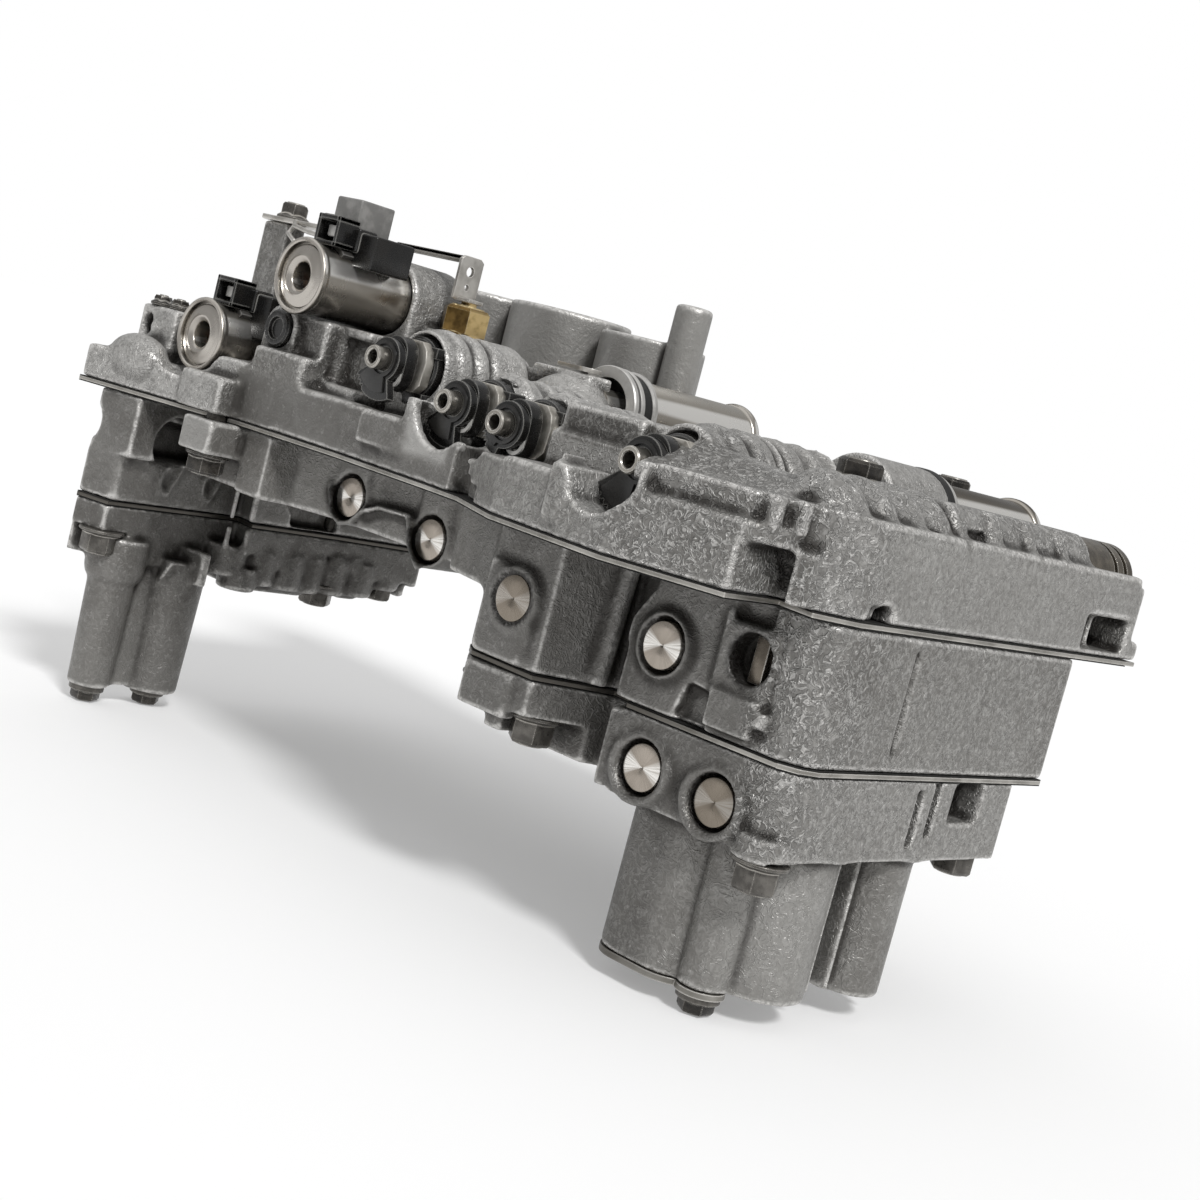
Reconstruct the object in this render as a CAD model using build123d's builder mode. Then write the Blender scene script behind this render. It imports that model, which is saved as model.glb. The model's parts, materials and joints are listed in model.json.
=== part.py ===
from build123d import *
import math
import os

os.makedirs("parts", exist_ok=True)

# Transmission valve body. X runs along the length, Y from the front face to the rear, Z up.
# The origin is on the floor, under the middle of the whole part.

# Overall size
length = 282.0
depth = 176.0
left = -length / 2
right = length / 2
front = -depth / 2
back = depth / 2

# Heights of the stack, from the floor up
foot_head = 5.0
cover_thick = 1.6
tower_drop = 38.5
lower_height = 20.5
middle_height = 33.2
arch_height = 19.0
notch_height = 11.7
deck_height = 13.2
rim_height = 22.9
plate_thick = 1.2
gasket_thick = 0.3
stack = plate_thick + 2 * gasket_thick
z_tower = foot_head + cover_thick
z_lower = foot_head + tower_drop
z_lower_top = z_lower + lower_height
z_middle = z_lower_top + stack
z_middle_top = z_middle + middle_height
z_arch = z_middle_top - arch_height
z_upper = z_middle_top + stack
z_deck = z_upper + deck_height
z_rim = z_upper + rim_height

# Front spool valves: bore, plug, key, spring and spool
bore_radius = 6.0
fit_gap = 0.05
seat_gap = 0.3
bore_reach = 62.0
bore_wall = 2.1
mouth_flare = 0.8
plug_reach = 8.0
plug_setback = 0.6
key_thick = 1.6
key_width = 9.0
key_rise = 3.0
spring_room = 16.0
spool_waist = 3.2
land_reach = 8.0
valve_travel = 5.0
port_width = 7.0
port_reach = 4.5
port_offsets = (16.0, 28.0, 42.0)
wire_radius = 0.6
spring_turns = 5.0

# Solenoid valves
case_radius = 10.3
case_wall = 0.8
flange_radius = 11.3
flange_thick = 2.4
core_hole = 4.0
core_radius = 7.0
core_reach = 9.0
nozzle_radius = 5.5
nozzle_reach = 9.0
coil_inner = 5.4
plunger_radius = coil_inner - fit_gap
plunger_reach = 12.0
plunger_travel = 2.0
seal_thick = 2.0
dome_wall = 2.4

# Accumulators
piston_radius = 12.0
piston_height = 9.0
piston_travel = 6.0
accumulator_depth = 32.0

# Fasteners
m6_radius = 3.0
m6_across = 10.0
m6_head = 5.6
m6_flange = 6.6
m5_radius = 2.5
m5_across = 8.0
m5_flange = 5.2
flange_rise = 1.2
hole_gap = 0.2

FRONTWARD = (0, -1, 0)
REARWARD = (0, 1, 0)
UPWARD = (0, 0, 1)
DOWNWARD = (0, 0, -1)
RIGHTWARD = (1, 0, 0)


def prism(points, low, high, mode=Mode.ADD):
    """Upright block with a straight-sided outline, added to or cut from the part being built."""
    with BuildSketch(Plane.XY.offset(low)) as outline:
        with BuildLine():
            Polyline(*points, close=True)
        make_face()
    extrude(outline.sketch, amount=high - low, mode=mode)


def block(x_span, y_span, z_span, mode=Mode.ADD):
    """Square block between three pairs of limits."""
    (x0, x1), (y0, y1), (z0, z1) = x_span, y_span, z_span
    with Locations(((x0 + x1) / 2, (y0 + y1) / 2, (z0 + z1) / 2)):
        Box(x1 - x0, y1 - y0, z1 - z0, mode=mode)


def rod(start, direction, radius, reach, mode=Mode.ADD, taper=0.0):
    """Round bar or round hole from a start point along a direction."""
    with BuildSketch(Plane(origin=start, z_dir=direction)) as disc:
        Circle(radius)
    extrude(disc.sketch, amount=reach, mode=mode, taper=taper)


def turned(start, direction, profile, mode=Mode.ADD):
    """Turned form: the profile holds (radius, distance along the axis) pairs."""
    across = Vector(1, 0, 0) if direction[0] == 0 else Vector(0, 1, 0)
    normal = across.cross(Vector(*direction))
    with BuildSketch(Plane(origin=start, x_dir=across, z_dir=normal)) as half:
        with BuildLine():
            Polyline(*profile, close=True)
        make_face()
    revolve(half.sketch, axis=Axis(start, direction), mode=mode)


def ring_profile(inner, outer, begin, end):
    """Profile of a plain ring or tube."""
    return [(inner, begin), (outer, begin), (outer, end), (inner, end)]


def finish(piece, name):
    """Label a finished piece and write it out."""
    piece.part.label = name
    export_step(piece.part, "parts/" + name + ".step")


def coil_spring(start, direction, radius, reach, name):
    """Open coil spring between two seats."""
    turn_height = (reach - 2 * wire_radius) / spring_turns
    first = [place + wire_radius * way for place, way in zip(start, direction)]
    with BuildPart() as spring:
        with BuildLine() as path:
            Helix(turn_height, reach - 2 * wire_radius, radius, center=first, direction=direction)
        with BuildSketch(Plane(origin=path.line @ 0, z_dir=path.line % 0)):
            Circle(wire_radius)
        sweep(is_frenet=True)
    finish(spring, name)


# Plan outlines
upper_front = [
    (left, front + 10.5),
    (left + 58.0, front + 29.0),
    (left + 102.0, front + 30.0),
    (right - 134.0, front + 25.0),
    (right - 118.5, front + 22.5),
    (right - 90.0, front + 7.0),
    (right - 46.0, front),
    (right - 16.0, front + 9.0),
]
corner_notch = (right - 17.4, front + 31.0)
upper_corner = [(right - 5.0, front + 27.0), (right, front + 39.0)]
upper_rear = [(right, back - 5.0), (left + 10.0, back - 5.0), (left, back - 18.0)]
tab = [(right - 9.0, back - 5.0), (right, back - 5.0), (right, back), (right - 9.0, back)]
notched_outline = upper_front + [corner_notch] + upper_corner + upper_rear
roof_outline = upper_front + upper_corner + upper_rear

block_front = [
    (right - 102.0, front + 24.0),
    (right - 96.0, front + 19.0),
    (right - 73.0, front + 18.0),
    (right - 64.0, front + 39.0),
    (right - 56.0, front + 38.0),
    (right - 53.0, front + 31.0),
    (right - 12.0, front + 31.0),
    (right - 6.5, front + 31.0),
    (right - 2.0, front + 34.0),
    (right, front + 39.0),
]
right_rear = [(right, back - 34.0), (right - 22.0, back - 34.0), (right - 28.0, back - 12.0)]
right_outline = block_front + right_rear + [(right - 94.0, back - 12.0), (right - 102.0, back - 20.0)]
lower_rear = [(right, back - 48.0), (right - 24.0, back - 46.0), (right - 36.0, back - 12.0)]
lower_outline = block_front + lower_rear + [(right - 94.0, back - 12.0), (right - 102.0, back - 20.0)]

left_outline = [
    (left, front + 30.0),
    (left + 6.0, front + 15.0),
    (left + 19.0, front + 18.0),
    (left + 12.0, front + 73.0),
    (left + 23.0, front + 71.0),
    (left + 21.5, front + 109.0),
    (left + 24.0, back - 28.0),
    (left, back - 28.0),
]
left_middle = [
    (left, front + 30.0),
    (left + 6.5, front + 15.0),
    (left + 24.0, front + 18.0),
    (left + 20.0, front + 70.0),
    (left + 23.0, front + 109.0),
    (left + 24.0, back - 28.0),
    (left, back - 28.0),
]

# Mouth of each front valve bore (x, y, z), and the number of the casting that holds it
mid_height = z_middle + 15.9
plugs_middle = [
    (right - 84.5, front + 16.0, mid_height),
    (right - 46.0, front + 29.0, mid_height - 0.1),
    (left + 95.0, front + 46.0, z_middle_top - 11.2),
    (left + 132.0, front + 46.0, z_middle_top - 15.0),
]
open_mouth = (right - 20.5, front + 31.0, mid_height + 3.8)
plugs_lower = [
    (right - 44.0, front + 31.0, z_lower_top - 12.0),
    (right - 21.0, front + 31.0, z_lower_top - 12.8),
]
middle_mouths = plugs_middle + [open_mouth]
lower_mouths = plugs_lower

# Adjusters: tip of each steel tube
adjusters = [
    (left + 110.4, front + 29.0, z_upper + 28.6),
    (right - 137.5, front + 27.0, z_upper + 22.1),
    (right - 114.6, front + 25.0, z_upper + 20.6),
    (right - 52.0, front + 8.0, z_upper + 21.5),
]
tube_radius = 3.3
tube_bore = 1.9
tube_reach = 18.0
sleeve_radius = 7.4
clip_height = 17.0
adjuster_housings = [(11.0, 36.0, 4), (10.0, 42.0, 4), (10.0, 42.0, 3), (11.5, 52.0, 4)]
spigot_reach = 10.0
collar_offset = 14.0
housing_offset = 18.0

# Solenoids: outer end of the flange, and the way the case points into its casting
solenoid_a = (left + 74.0, front + 26.0, z_upper + 45.5)
solenoid_b = (left + 33.5, front + 26.0, z_upper + 21.5)
solenoid_c = (right - 140.0, back - 23.0, z_upper + 30.7)
solenoid_d = (right - 40.0, back - 9.0, z_upper + 23.9)
# Each solenoid: place, way, length of the case, and where its cast cover begins and ends along that way
solenoids = [
    (solenoid_a, REARWARD, 36.0, 34.0, 56.0),
    (solenoid_b, REARWARD, 36.0, 20.0, 50.0),
    (solenoid_c, FRONTWARD, 55.0, 54.0, 60.0),
    (solenoid_d, FRONTWARD, 61.0, 59.0, 87.0),
]

# Black plug under solenoid A
black_plug = (left + 63.0, front + 31.0, z_upper + 29.2)
black_plug_radius = 5.6

# Grooved plug at the rear right
end_plug = (right - 15.0, back - 4.0, z_upper + 19.8)
end_plug_radius = 10.0
end_plug_reach = 40.0
end_plug_shown = 29.0

# Towers, legs and accumulators
tower_left = right - 50.0
tower_right = right - 22.0
tower_front = front + 35.0
tower_back = front + 69.0
tower_corner = 9.0
lobe_centre = (right - 15.0, front + 58.0)
lobe_radius = 15.0
boss_centre = (right - 19.0, front + 43.0)
boss_radius = 6.2
small_centre = (right - 11.0, front + 91.0)
small_radius = 11.0
rear_centre = (right - 75.0, back - 30.0)
rear_radius = 17.0
piston_one = (right - 37.0, front + 52.0)
leg_one = (left + 11.0, front + 31.0)
leg_two = (left + 11.0, front + 54.0)
leg_one_radius = 6.5
leg_two_radius = 9.0
leg_slope = 1.5

# Rear casting with its upright lobes: centre x, radius, height above the deck
lobes = [
    (left + 23.0, 20.0, 45.0),
    (left + 63.0, 21.0, 45.0),
    (left + 102.0, 17.5, 42.0),
]
lobe_row = back - 25.0
rear_base = 10.0
post_centre = (left + 122.5, back - 33.0)
post_radius = 6.0
post_rise = 55.0
lobe_piston = (left + 63.0, lobe_row)

# Bolt places
m6_lower = [
    (right - 7.5, front + 36.5, z_lower - 1.5),
    (right - 8.0, back - 54.0, z_lower + 2.0),
    (right - 77.5, front + 27.5, z_lower + 11.5),
    (right - 97.5, front + 29.0, z_lower + 16.0),
    (right - 92.0, back - 50.0, z_lower),
    (left + 14.0, front + 21.5, z_lower + 12.5),
    (left + 16.0, front + 110.0, z_lower + 4.5),
    (left + 16.0, front + 137.0, z_lower + 9.0),
]
m6_lug = (left + 52.0, front + 26.0, z_middle_top - 10.0)
m6_deck = [
    (left + 127.8, front + 86.0),
    (right - 30.5, front + 67.0),
    (left + 50.0, front + 92.0),
    (right - 62.0, back - 16.0),
]
deck_boss = 17.5
m5_feet = [
    (leg_one[0], leg_one[1], 0),
    (leg_two[0], leg_two[1], 0),
    (boss_centre[0], boss_centre[1], cover_thick),
    (tower_left + 9.0, tower_back - 3.0, cover_thick),
    (rear_centre[0] - 14.0, rear_centre[1] + 14.0, cover_thick),
    (rear_centre[0] + 14.0, rear_centre[1] - 14.0, cover_thick),
]
m6_grip = 8.0


def housing(x, z, radius, y_front, y_rear, ribs=0):
    """Cast housing of a bore on the deck: round top, straight sides, ribs around it."""
    rod((x, y_front, z), REARWARD, radius, y_rear - y_front)
    block((x - radius, x + radius), (y_front, y_rear), (z_deck - 1, z))
    pitch = (y_rear - y_front) / (ribs + 1)
    for count in range(ribs):
        rib_front = y_front + pitch * (count + 1) - 2.0
        rod((x, rib_front, z), REARWARD, radius + 1.3, 4.0)


def valve_bore(mouth, roof):
    """Bore for a spool valve, with its key slot and ports up to the parting face at the given height."""
    x, y, z = mouth
    rod(mouth, REARWARD, bore_radius, bore_reach, mode=Mode.SUBTRACT)
    flare = bore_radius + mouth_flare
    turned((x, y - 1.0, z), REARWARD, [(0, 0), (flare, 0), (flare, 1.4), (bore_radius, 2.2), (0, 2.2)], mode=Mode.SUBTRACT)
    key_front = y + plug_setback + plug_reach + 0.4
    key_back = key_front + key_thick + 0.3
    slot = key_width / 2 + 0.15
    block((x - slot, x + slot), (key_front, key_back), (z - key_rise - 0.2, roof), mode=Mode.SUBTRACT)
    for offset in port_offsets:
        port = y + offset + 4.0
        half = port_width / 2
        block((x - half, x + half), (port, port + port_reach), (z, roof), mode=Mode.SUBTRACT)


def channel(x_span, y_span, face, depth_cut):
    """Oil channel in a parting face; a negative depth cuts up from a lower face."""
    low, high = sorted((face, face - depth_cut))
    block(x_span, y_span, (low, high), mode=Mode.SUBTRACT)


def bolt_holes(places, radius, low, high):
    """Straight holes through a casting, plate or gasket."""
    for place in places:
        rod((place[0], place[1], low), UPWARD, radius, high - low, mode=Mode.SUBTRACT)


# Upper casting
with BuildPart() as upper_body:
    prism(notched_outline, z_upper, z_upper + notch_height)
    prism(roof_outline, z_upper + notch_height, z_deck)
    prism(tab, z_upper, z_upper + 3.8)

    # front wall, from the left lug to the slot beside the second adjuster
    prism([upper_front[0], (left + 38.0, front + 22.6), (left + 38.0, front + 34.0), (left, front + 24.0)],
          z_upper, z_deck - 3.0)
    prism([(left + 38.0, front + 22.6), upper_front[1], (left + 58.0, front + 43.0), (left + 38.0, front + 40.0)],
          z_deck - 1, z_upper + 17.2)
    prism([upper_front[1], upper_front[2], (left + 126.0, front + 27.6), (left + 126.0, front + 38.0),
           (left + 58.0, front + 40.0)], z_deck - 1, z_upper + 23.2)
    # right protrusion and right end wall
    prism([upper_front[5], (right - 68.0, front + 3.5), (right - 68.0, front + 20.0), (right - 90.0, front + 20.0)],
          z_deck - 1, z_upper + 14.7)
    prism([(right - 68.0, front + 3.5), upper_front[6], upper_front[7], upper_corner[0], upper_corner[1],
           (right - 9.0, front + 42.0), (right - 12.0, front + 33.0), (right - 20.0, front + 18.0),
           (right - 46.0, front + 9.0), (right - 68.0, front + 12.0)], z_deck - 1, z_upper + 21.5)
    prism([(right - 43.0, front + 0.6), upper_front[7], upper_corner[0], upper_corner[1],
           (right - 9.0, front + 42.0), (right - 12.0, front + 33.0), (right - 20.0, front + 18.0),
           (right - 43.0, front + 9.8)], z_deck - 1, z_rim)
    block((right - 9.0, right), (front + 39.0, back - 8.0), (z_deck - 1, z_rim))
    block((right - 9.0, right), (back - 9.0, back - 5.0), (z_upper, z_upper + 20.5))

    # housings behind the adjusters, with ribs around them
    for (x, y, z), (radius, reach, ribs) in zip(adjusters, adjuster_housings):
        housing(x, z, radius, y + housing_offset, y + housing_offset + reach, ribs)

    # solenoid domes and their valve bores
    for (x, y, z), way, case_reach, begin, end in solenoids:
        near, far = sorted((y + way[1] * begin, y + way[1] * end))
        housing(x, z, case_radius + dome_wall, near, far)
    housing(end_plug[0], end_plug[2], end_plug_radius + 2.0, front + 75.0, end_plug[1] - end_plug_shown, 3)

    # raised block under solenoid A
    block((solenoid_a[0] - 4.0, solenoid_a[0] + 20.0), (front + 35.5, solenoid_a[1] + 40.0),
          (z_deck - 1, solenoid_a[2] - case_radius - 0.5))
    housing(black_plug[0], black_plug[2], black_plug_radius + 2.0, black_plug[1] + 1.5, black_plug[1] + 28.0)
    # low ridges between the housings
    block((left + 116.0, left + 134.0), (front + 82.0, front + 100.0), (z_deck - 1, z_deck + 11.0))
    block((right - 100.0, right - 73.0), (front + 31.0, front + 78.0), (z_deck - 1, z_upper + 23.2))
    block((right - 99.0, right - 72.0), (front + 33.0, front + 76.0), (z_deck - 1, z_upper + 30.7))
    block((right - 72.0, right - 24.0), (front + 52.0, front + 74.0), (z_deck - 1, z_deck + 9.0))
    block((right - 98.0, right - 62.0), (front + 78.0, back - 12.0), (z_deck - 1, z_deck + 7.0))
    # column that carries the hold-down bracket
    block((left + 9.0, left + 24.0), (front + 50.0, front + 64.0), (z_deck - 1, z_upper + 61.5))
    # pad for the temperature sensor
    block((left + 87.0, left + 103.0), (front + 66.0, front + 82.0), (z_deck - 1, z_upper + 40.5))

    # bolt bosses
    for x, y in m6_deck:
        rod((x, y, z_deck - 1), UPWARD, m6_flange + 1.5, deck_boss - 1.0)

    # scooped recesses in the front wall, in front of the adjusters
    block((left + 83.0, left + 116.0), (front, front + 44.0), (z_upper + 15.2, z_rim + 9.0), mode=Mode.SUBTRACT)
    rod((adjusters[1][0] - 5.0, front, adjusters[1][2] + 1.0), REARWARD, 14.0, 45.0, mode=Mode.SUBTRACT)
    rod((adjusters[3][0] - 2.5, front - 1, adjusters[3][2]), REARWARD, 13.6, 27.0, mode=Mode.SUBTRACT)
    # lower step at the left end
    prism([(left - 1, front), (left + 39.0, front), (left + 39.0, front + 36.0), (left + 15.0, front + 30.0),
           (left + 15.0, front + 46.0), (left - 1, front + 46.0)], z_upper + 10.4, z_deck + 1, mode=Mode.SUBTRACT)
    # upright slot beside the right protrusion
    prism([(right - 122.5, front + 20.0), (right - 119.5, front + 20.0), (right - 119.5, front + 34.0),
           (right - 122.5, front + 34.0)], z_upper, z_deck + 1, mode=Mode.SUBTRACT)
    # ledge across the face of the right protrusion
    prism([(right - 44.0, front - 1), (right - 12.0, front + 7.0), (right - 12.0, front + 11.0),
           (right - 44.0, front + 1.4)], z_upper + 15.5, z_rim + 1, mode=Mode.SUBTRACT)
    # recess and small slot in the right end face
    block((right - 14.0, right + 1), (back - 33.4, back - 9.0), (z_upper + 1.4, z_upper + 10.6), mode=Mode.SUBTRACT)
    block((right - 8.0, right + 1), (front + 41.6, front + 51.0), (z_upper - 0.1, z_upper + 4.1), mode=Mode.SUBTRACT)

    # bores for the adjusters, solenoid nozzles and the end plug
    for x, y, z in adjusters:
        rod((x, y + 4.0, z), REARWARD, clip_height / 2 + 0.6, housing_offset - 4.0, mode=Mode.SUBTRACT)
        rod((x, y + housing_offset, z), REARWARD, sleeve_radius + 0.1, 24.0, mode=Mode.SUBTRACT)
    rod((black_plug[0], black_plug[1], black_plug[2]), REARWARD, black_plug_radius + fit_gap, 24.0,
        mode=Mode.SUBTRACT)
    for (x, y, z), way, case_reach, begin, end in solenoids:
        case_end = y + way[1] * case_reach
        rod((x, y - way[1] * 16.0, z), way, flange_radius + 0.6, 20.0, mode=Mode.SUBTRACT)
        rod((x, y, z), way, case_radius + 0.4, case_reach + seal_thick, mode=Mode.SUBTRACT)
        rod((x, case_end, z), way, nozzle_radius + fit_gap, nozzle_reach + seal_thick + 1.5, mode=Mode.SUBTRACT)
    shown_from = end_plug[1] - end_plug_shown
    rod((end_plug[0], shown_from, end_plug[2]), REARWARD, end_plug_radius + 0.6, 40.0, mode=Mode.SUBTRACT)
    rod((end_plug[0], end_plug[1] - end_plug_reach, end_plug[2]), REARWARD, end_plug_radius + fit_gap,
        end_plug_reach, mode=Mode.SUBTRACT)

    # oil channels in the lower face
    for count in range(5):
        x = left + 66.0 + 26.0 * count
        channel((x, x + 9.0), (front + 52.0, front + 128.0), z_upper, -9.0)
    for y in (front + 92.0, front + 112.0):
        channel((right - 66.0, right - 20.0), (y, y + 9.0), z_upper, -9.0)

    bolt_holes(m6_deck, m6_radius + hole_gap, z_upper, z_deck + deck_boss)
    bolt_holes([m6_lug], m6_radius + hole_gap, z_upper, z_upper + m6_grip + 1)
    bolt_holes([(left + 16.5, front + 57.0)], m5_radius + hole_gap, z_upper + 50.0, z_upper + 62.0)
finish(upper_body, "upper_body")

# Middle casting
with BuildPart() as middle_body:
    prism(right_outline, z_middle, z_middle_top)
    prism(left_middle, z_arch, z_middle_top)
    prism(left_outline, z_middle, z_arch)
    # deck that joins the two blocks over the arch
    arch = [
        (left + 22.0, front + 38.0), (left + 61.0, front + 36.0), (left + 61.0, front + 31.0), (left + 73.0, front + 31.0),
        (left + 76.0, front + 40.0), (left + 90.0, front + 47.0), (right - 102.0, front + 47.0),
        (right - 100.0, back - 12.0), (left + 20.0, back - 12.0), (left, back - 28.0), (left, front + 60.0),
        (left + 22.0, front + 60.0),
    ]
    prism(arch, z_arch, z_middle_top)
    prism([(right - 121.0, front + 28.0), (right - 95.0, front + 20.0), (right - 95.0, front + 60.0),
           (right - 121.0, front + 60.0)], z_arch + 1.0, z_middle_top)
    # lug on the front left
    block((left + 43.5, left + 60.0), (front + 19.0, front + 37.0), (z_middle_top - 10.0, z_middle_top))
    # round pads at the bore mouths
    for x, y, z in middle_mouths:
        rod((x, y, z), REARWARD, bore_radius + bore_wall, 20.0)
    for x, y, z in plugs_middle[2:]:
        rod((x, y, z), REARWARD, bore_radius + bore_wall, bore_reach + 4.0)
        block((x - bore_radius, x + bore_radius), (y, y + bore_reach + 4.0), (z, z_middle_top))
    # ledge under the open bore and upright step beside it
    block((open_mouth[0] - 8.0, open_mouth[0] + 6.0), (front + 28.5, front + 40.0),
          (z_middle + 2.0, open_mouth[2] - 9.0))
    # hollow in the inner face of the left block
    rod((left + 8.0, front + 36.0, z_arch + 6.0), RIGHTWARD, 9.0, 20.0, mode=Mode.SUBTRACT)
    # bite in the left end
    rod((left + 3.0, front + 10.0, z_middle_top - 11.0), REARWARD, 6.0, 30.0, mode=Mode.SUBTRACT)

    for mouth in middle_mouths:
        valve_bore(mouth, z_middle_top)
    for count in range(4):
        x = left + 48.0 + 24.0 * count
        channel((x, x + 8.0), (back - 62.0, back - 24.0), z_middle_top, 8.0)
    for count in range(3):
        x = right - 90.0 + 22.0 * count
        channel((x, x + 9.0), (front + 100.0, back - 24.0), z_middle_top, 10.0)
        channel((x, x + 9.0), (front + 100.0, back - 44.0), z_middle, -10.0)
    bolt_holes(m6_lower, m6_radius + hole_gap, z_middle, z_middle + m6_grip)
    bolt_holes([m6_lug], m6_radius + hole_gap, z_middle_top - 10.0, z_middle_top)
    bolt_holes(m6_deck, m6_radius + hole_gap, z_middle_top - 8.0, z_middle_top)
finish(middle_body, "middle_body")

# Right lower casting, with the accumulator towers under it
with BuildPart() as right_lower_body:
    prism(lower_outline, z_lower, z_lower_top)
    for x, y, z in lower_mouths:
        rod((x, y - 1.0, z), REARWARD, bore_radius + bore_wall, 24.0)
    with BuildSketch(Plane.XY.offset(z_tower)) as tower_plan:
        with Locations(((tower_left + tower_right) / 2, (tower_front + tower_back) / 2)):
            RectangleRounded(tower_right - tower_left, tower_back - tower_front, tower_corner)
        with Locations(lobe_centre):
            Circle(lobe_radius)
        with Locations(boss_centre):
            Circle(boss_radius)
        with Locations(small_centre):
            Circle(small_radius)
        with Locations(rear_centre):
            Circle(rear_radius)
        with Locations((rear_centre[0] - 14.0, rear_centre[1] + 14.0), (rear_centre[0] + 14.0, rear_centre[1] - 14.0)):
            Circle(boss_radius)
    extrude(amount=z_lower - z_tower + 1.0)
    # proud seat for the corner bolt
    rod((m6_lower[0][0], m6_lower[0][1], m6_lower[0][2]), UPWARD, m6_flange + 0.7, 6.0)
    # thinner front left corner, in steps
    block((right - 103.0, right - 53.0), (front, front + 60.0), (z_lower - 1, z_lower + 2.5), mode=Mode.SUBTRACT)
    block((right - 103.0, right - 80.0), (front, front + 60.0), (z_lower - 1, z_lower + 8.0), mode=Mode.SUBTRACT)
    block((right - 103.0, right - 64.0), (front, front + 34.4), (z_lower - 1, z_lower + 11.5), mode=Mode.SUBTRACT)
    block((right - 103.0, right - 90.6), (front, front + 50.0), (z_lower - 1, z_lower + 16.0), mode=Mode.SUBTRACT)
    # seat for the rear bolt
    rod((m6_lower[1][0], m6_lower[1][1], z_lower - 1), UPWARD, m6_flange + 0.8, 3.0, mode=Mode.SUBTRACT)
    # slot and pocket in the right face
    block((right - 6.0, right + 1), (front + 91.0, front + 93.5), (z_lower + 6.0, z_lower_top), mode=Mode.SUBTRACT)
    block((right - 9.0, right + 1), (front + 100.0, front + 114.0), (z_lower + 10.0, z_lower_top - 0.6),
          mode=Mode.SUBTRACT)
    for mouth in lower_mouths:
        valve_bore(mouth, z_lower_top)
    # accumulator bores, open at the bottom
    for x, y in (piston_one, rear_centre):
        rod((x, y, z_tower), UPWARD, piston_radius + fit_gap, accumulator_depth, mode=Mode.SUBTRACT)
    for count in range(2):
        x = right - 90.0 + 20.0 * count
        channel((x, x + 9.0), (front + 100.0, back - 22.0), z_lower_top, 9.0)
    bolt_holes(m6_lower[:5], m6_radius + hole_gap, z_lower - 2.0, z_lower_top)
    bolt_holes(m5_feet[2:], m5_radius + hole_gap, z_tower, z_tower + 15.0)
finish(right_lower_body, "right_lower_body")

# Left lower casting, with its two long legs
with BuildPart() as left_lower_body:
    prism(left_outline, z_lower + 3.0, z_lower_top)
    block((left, left + 22.0), (front + 71.0, back - 50.0), (z_lower, z_lower + 4.0))
    for count in range(4):
        rod((left + 17.5, front + 74.0 + 12.0 * count, z_lower - 1.0), UPWARD, 6.5, 8.0)
    rod((leg_one[0], leg_one[1], z_lower + 8.0), DOWNWARD, leg_one_radius + 1.6, 11.0)
    for (x, y), radius in ((leg_one, leg_one_radius), (leg_two, leg_two_radius)):
        rod((x, y, foot_head), UPWARD, radius, z_lower + 6.0 - foot_head, taper=-leg_slope)
    prism([(leg_one[0] - 3.5, leg_one[1]), (leg_one[0] + 3.5, leg_one[1]), (leg_two[0] + 3.5, leg_two[1]),
           (leg_two[0] - 3.5, leg_two[1])], foot_head + 1.0, z_lower + 6.0)
    # bolt pocket at the front corner
    block((left + 6.5, left + 21.5), (front + 10.0, front + 29.0), (z_lower + 2.0, m6_lower[5][2]),
          mode=Mode.SUBTRACT)
    for x, y, z in m6_lower[6:]:
        block((x - 7.6, x + 9.0), (y - 7.6, y + 7.6), (z_lower - 2.0, z), mode=Mode.SUBTRACT)
    bolt_holes(m6_lower[5:], m6_radius + hole_gap, z_lower, z_lower_top)
    bolt_holes(m5_feet[:2], m5_radius + hole_gap, foot_head, foot_head + 17.0)
    channel((left + 5.0, left + 14.0), (front + 112.0, back - 46.0), z_lower_top, 8.0)
finish(left_lower_body, "left_lower_body")

# Rear casting with its upright lobes and post
with BuildPart() as rear_body:
    block((left + 4.0, left + 128.0), (lobe_row - 20.0, lobe_row + 19.0), (z_deck, z_deck + rear_base))
    for x, radius, rise in lobes:
        rod((x, lobe_row, z_deck), UPWARD, radius, rise)
    rod((post_centre[0], post_centre[1], z_deck), UPWARD, post_radius, post_rise)
    block((lobes[2][0], post_centre[0]), (post_centre[1] - 2.0, post_centre[1] + 8.0), (z_deck, z_deck + 30.0))
    rod((lobe_piston[0], lobe_piston[1], z_deck), UPWARD, piston_radius + fit_gap, accumulator_depth,
        mode=Mode.SUBTRACT)
finish(rear_body, "rear_body")

# Separator plates and gaskets
upper_holes = m6_deck + [m6_lug]


def sheet(outline, low, thick, holes, ports):
    """Flat sheet with bolt holes and metering holes."""
    prism(outline, low, low + thick)
    bolt_holes(holes, m6_radius + hole_gap + 0.1, low, low + thick)
    for place in ports:
        rod((place[0], place[1] + port_offsets[1] + 6.0, low), UPWARD, 1.6, thick, mode=Mode.SUBTRACT)


upper_sheets = [(notched_outline, z_middle_top, upper_holes, middle_mouths)]
lower_sheets = [
    (right_outline, z_lower_top, m6_lower[:5], lower_mouths),
    (left_outline, z_lower_top, m6_lower[5:], []),
]
for level_name, sheets in (("upper", upper_sheets), ("lower", lower_sheets)):
    with BuildPart() as separator:
        for outline, low, holes, ports in sheets:
            sheet(outline, low + gasket_thick, plate_thick, holes, ports)
        if level_name == "upper":
            prism(tab, z_middle_top + gasket_thick, z_middle_top + gasket_thick + plate_thick)
    finish(separator, level_name + "_plate")
    with BuildPart() as gaskets:
        for outline, low, holes, ports in sheets:
            for level in (low, low + gasket_thick + plate_thick):
                sheet(outline, level, gasket_thick, holes, ports)
    finish(gaskets, level_name + "_gaskets")

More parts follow.
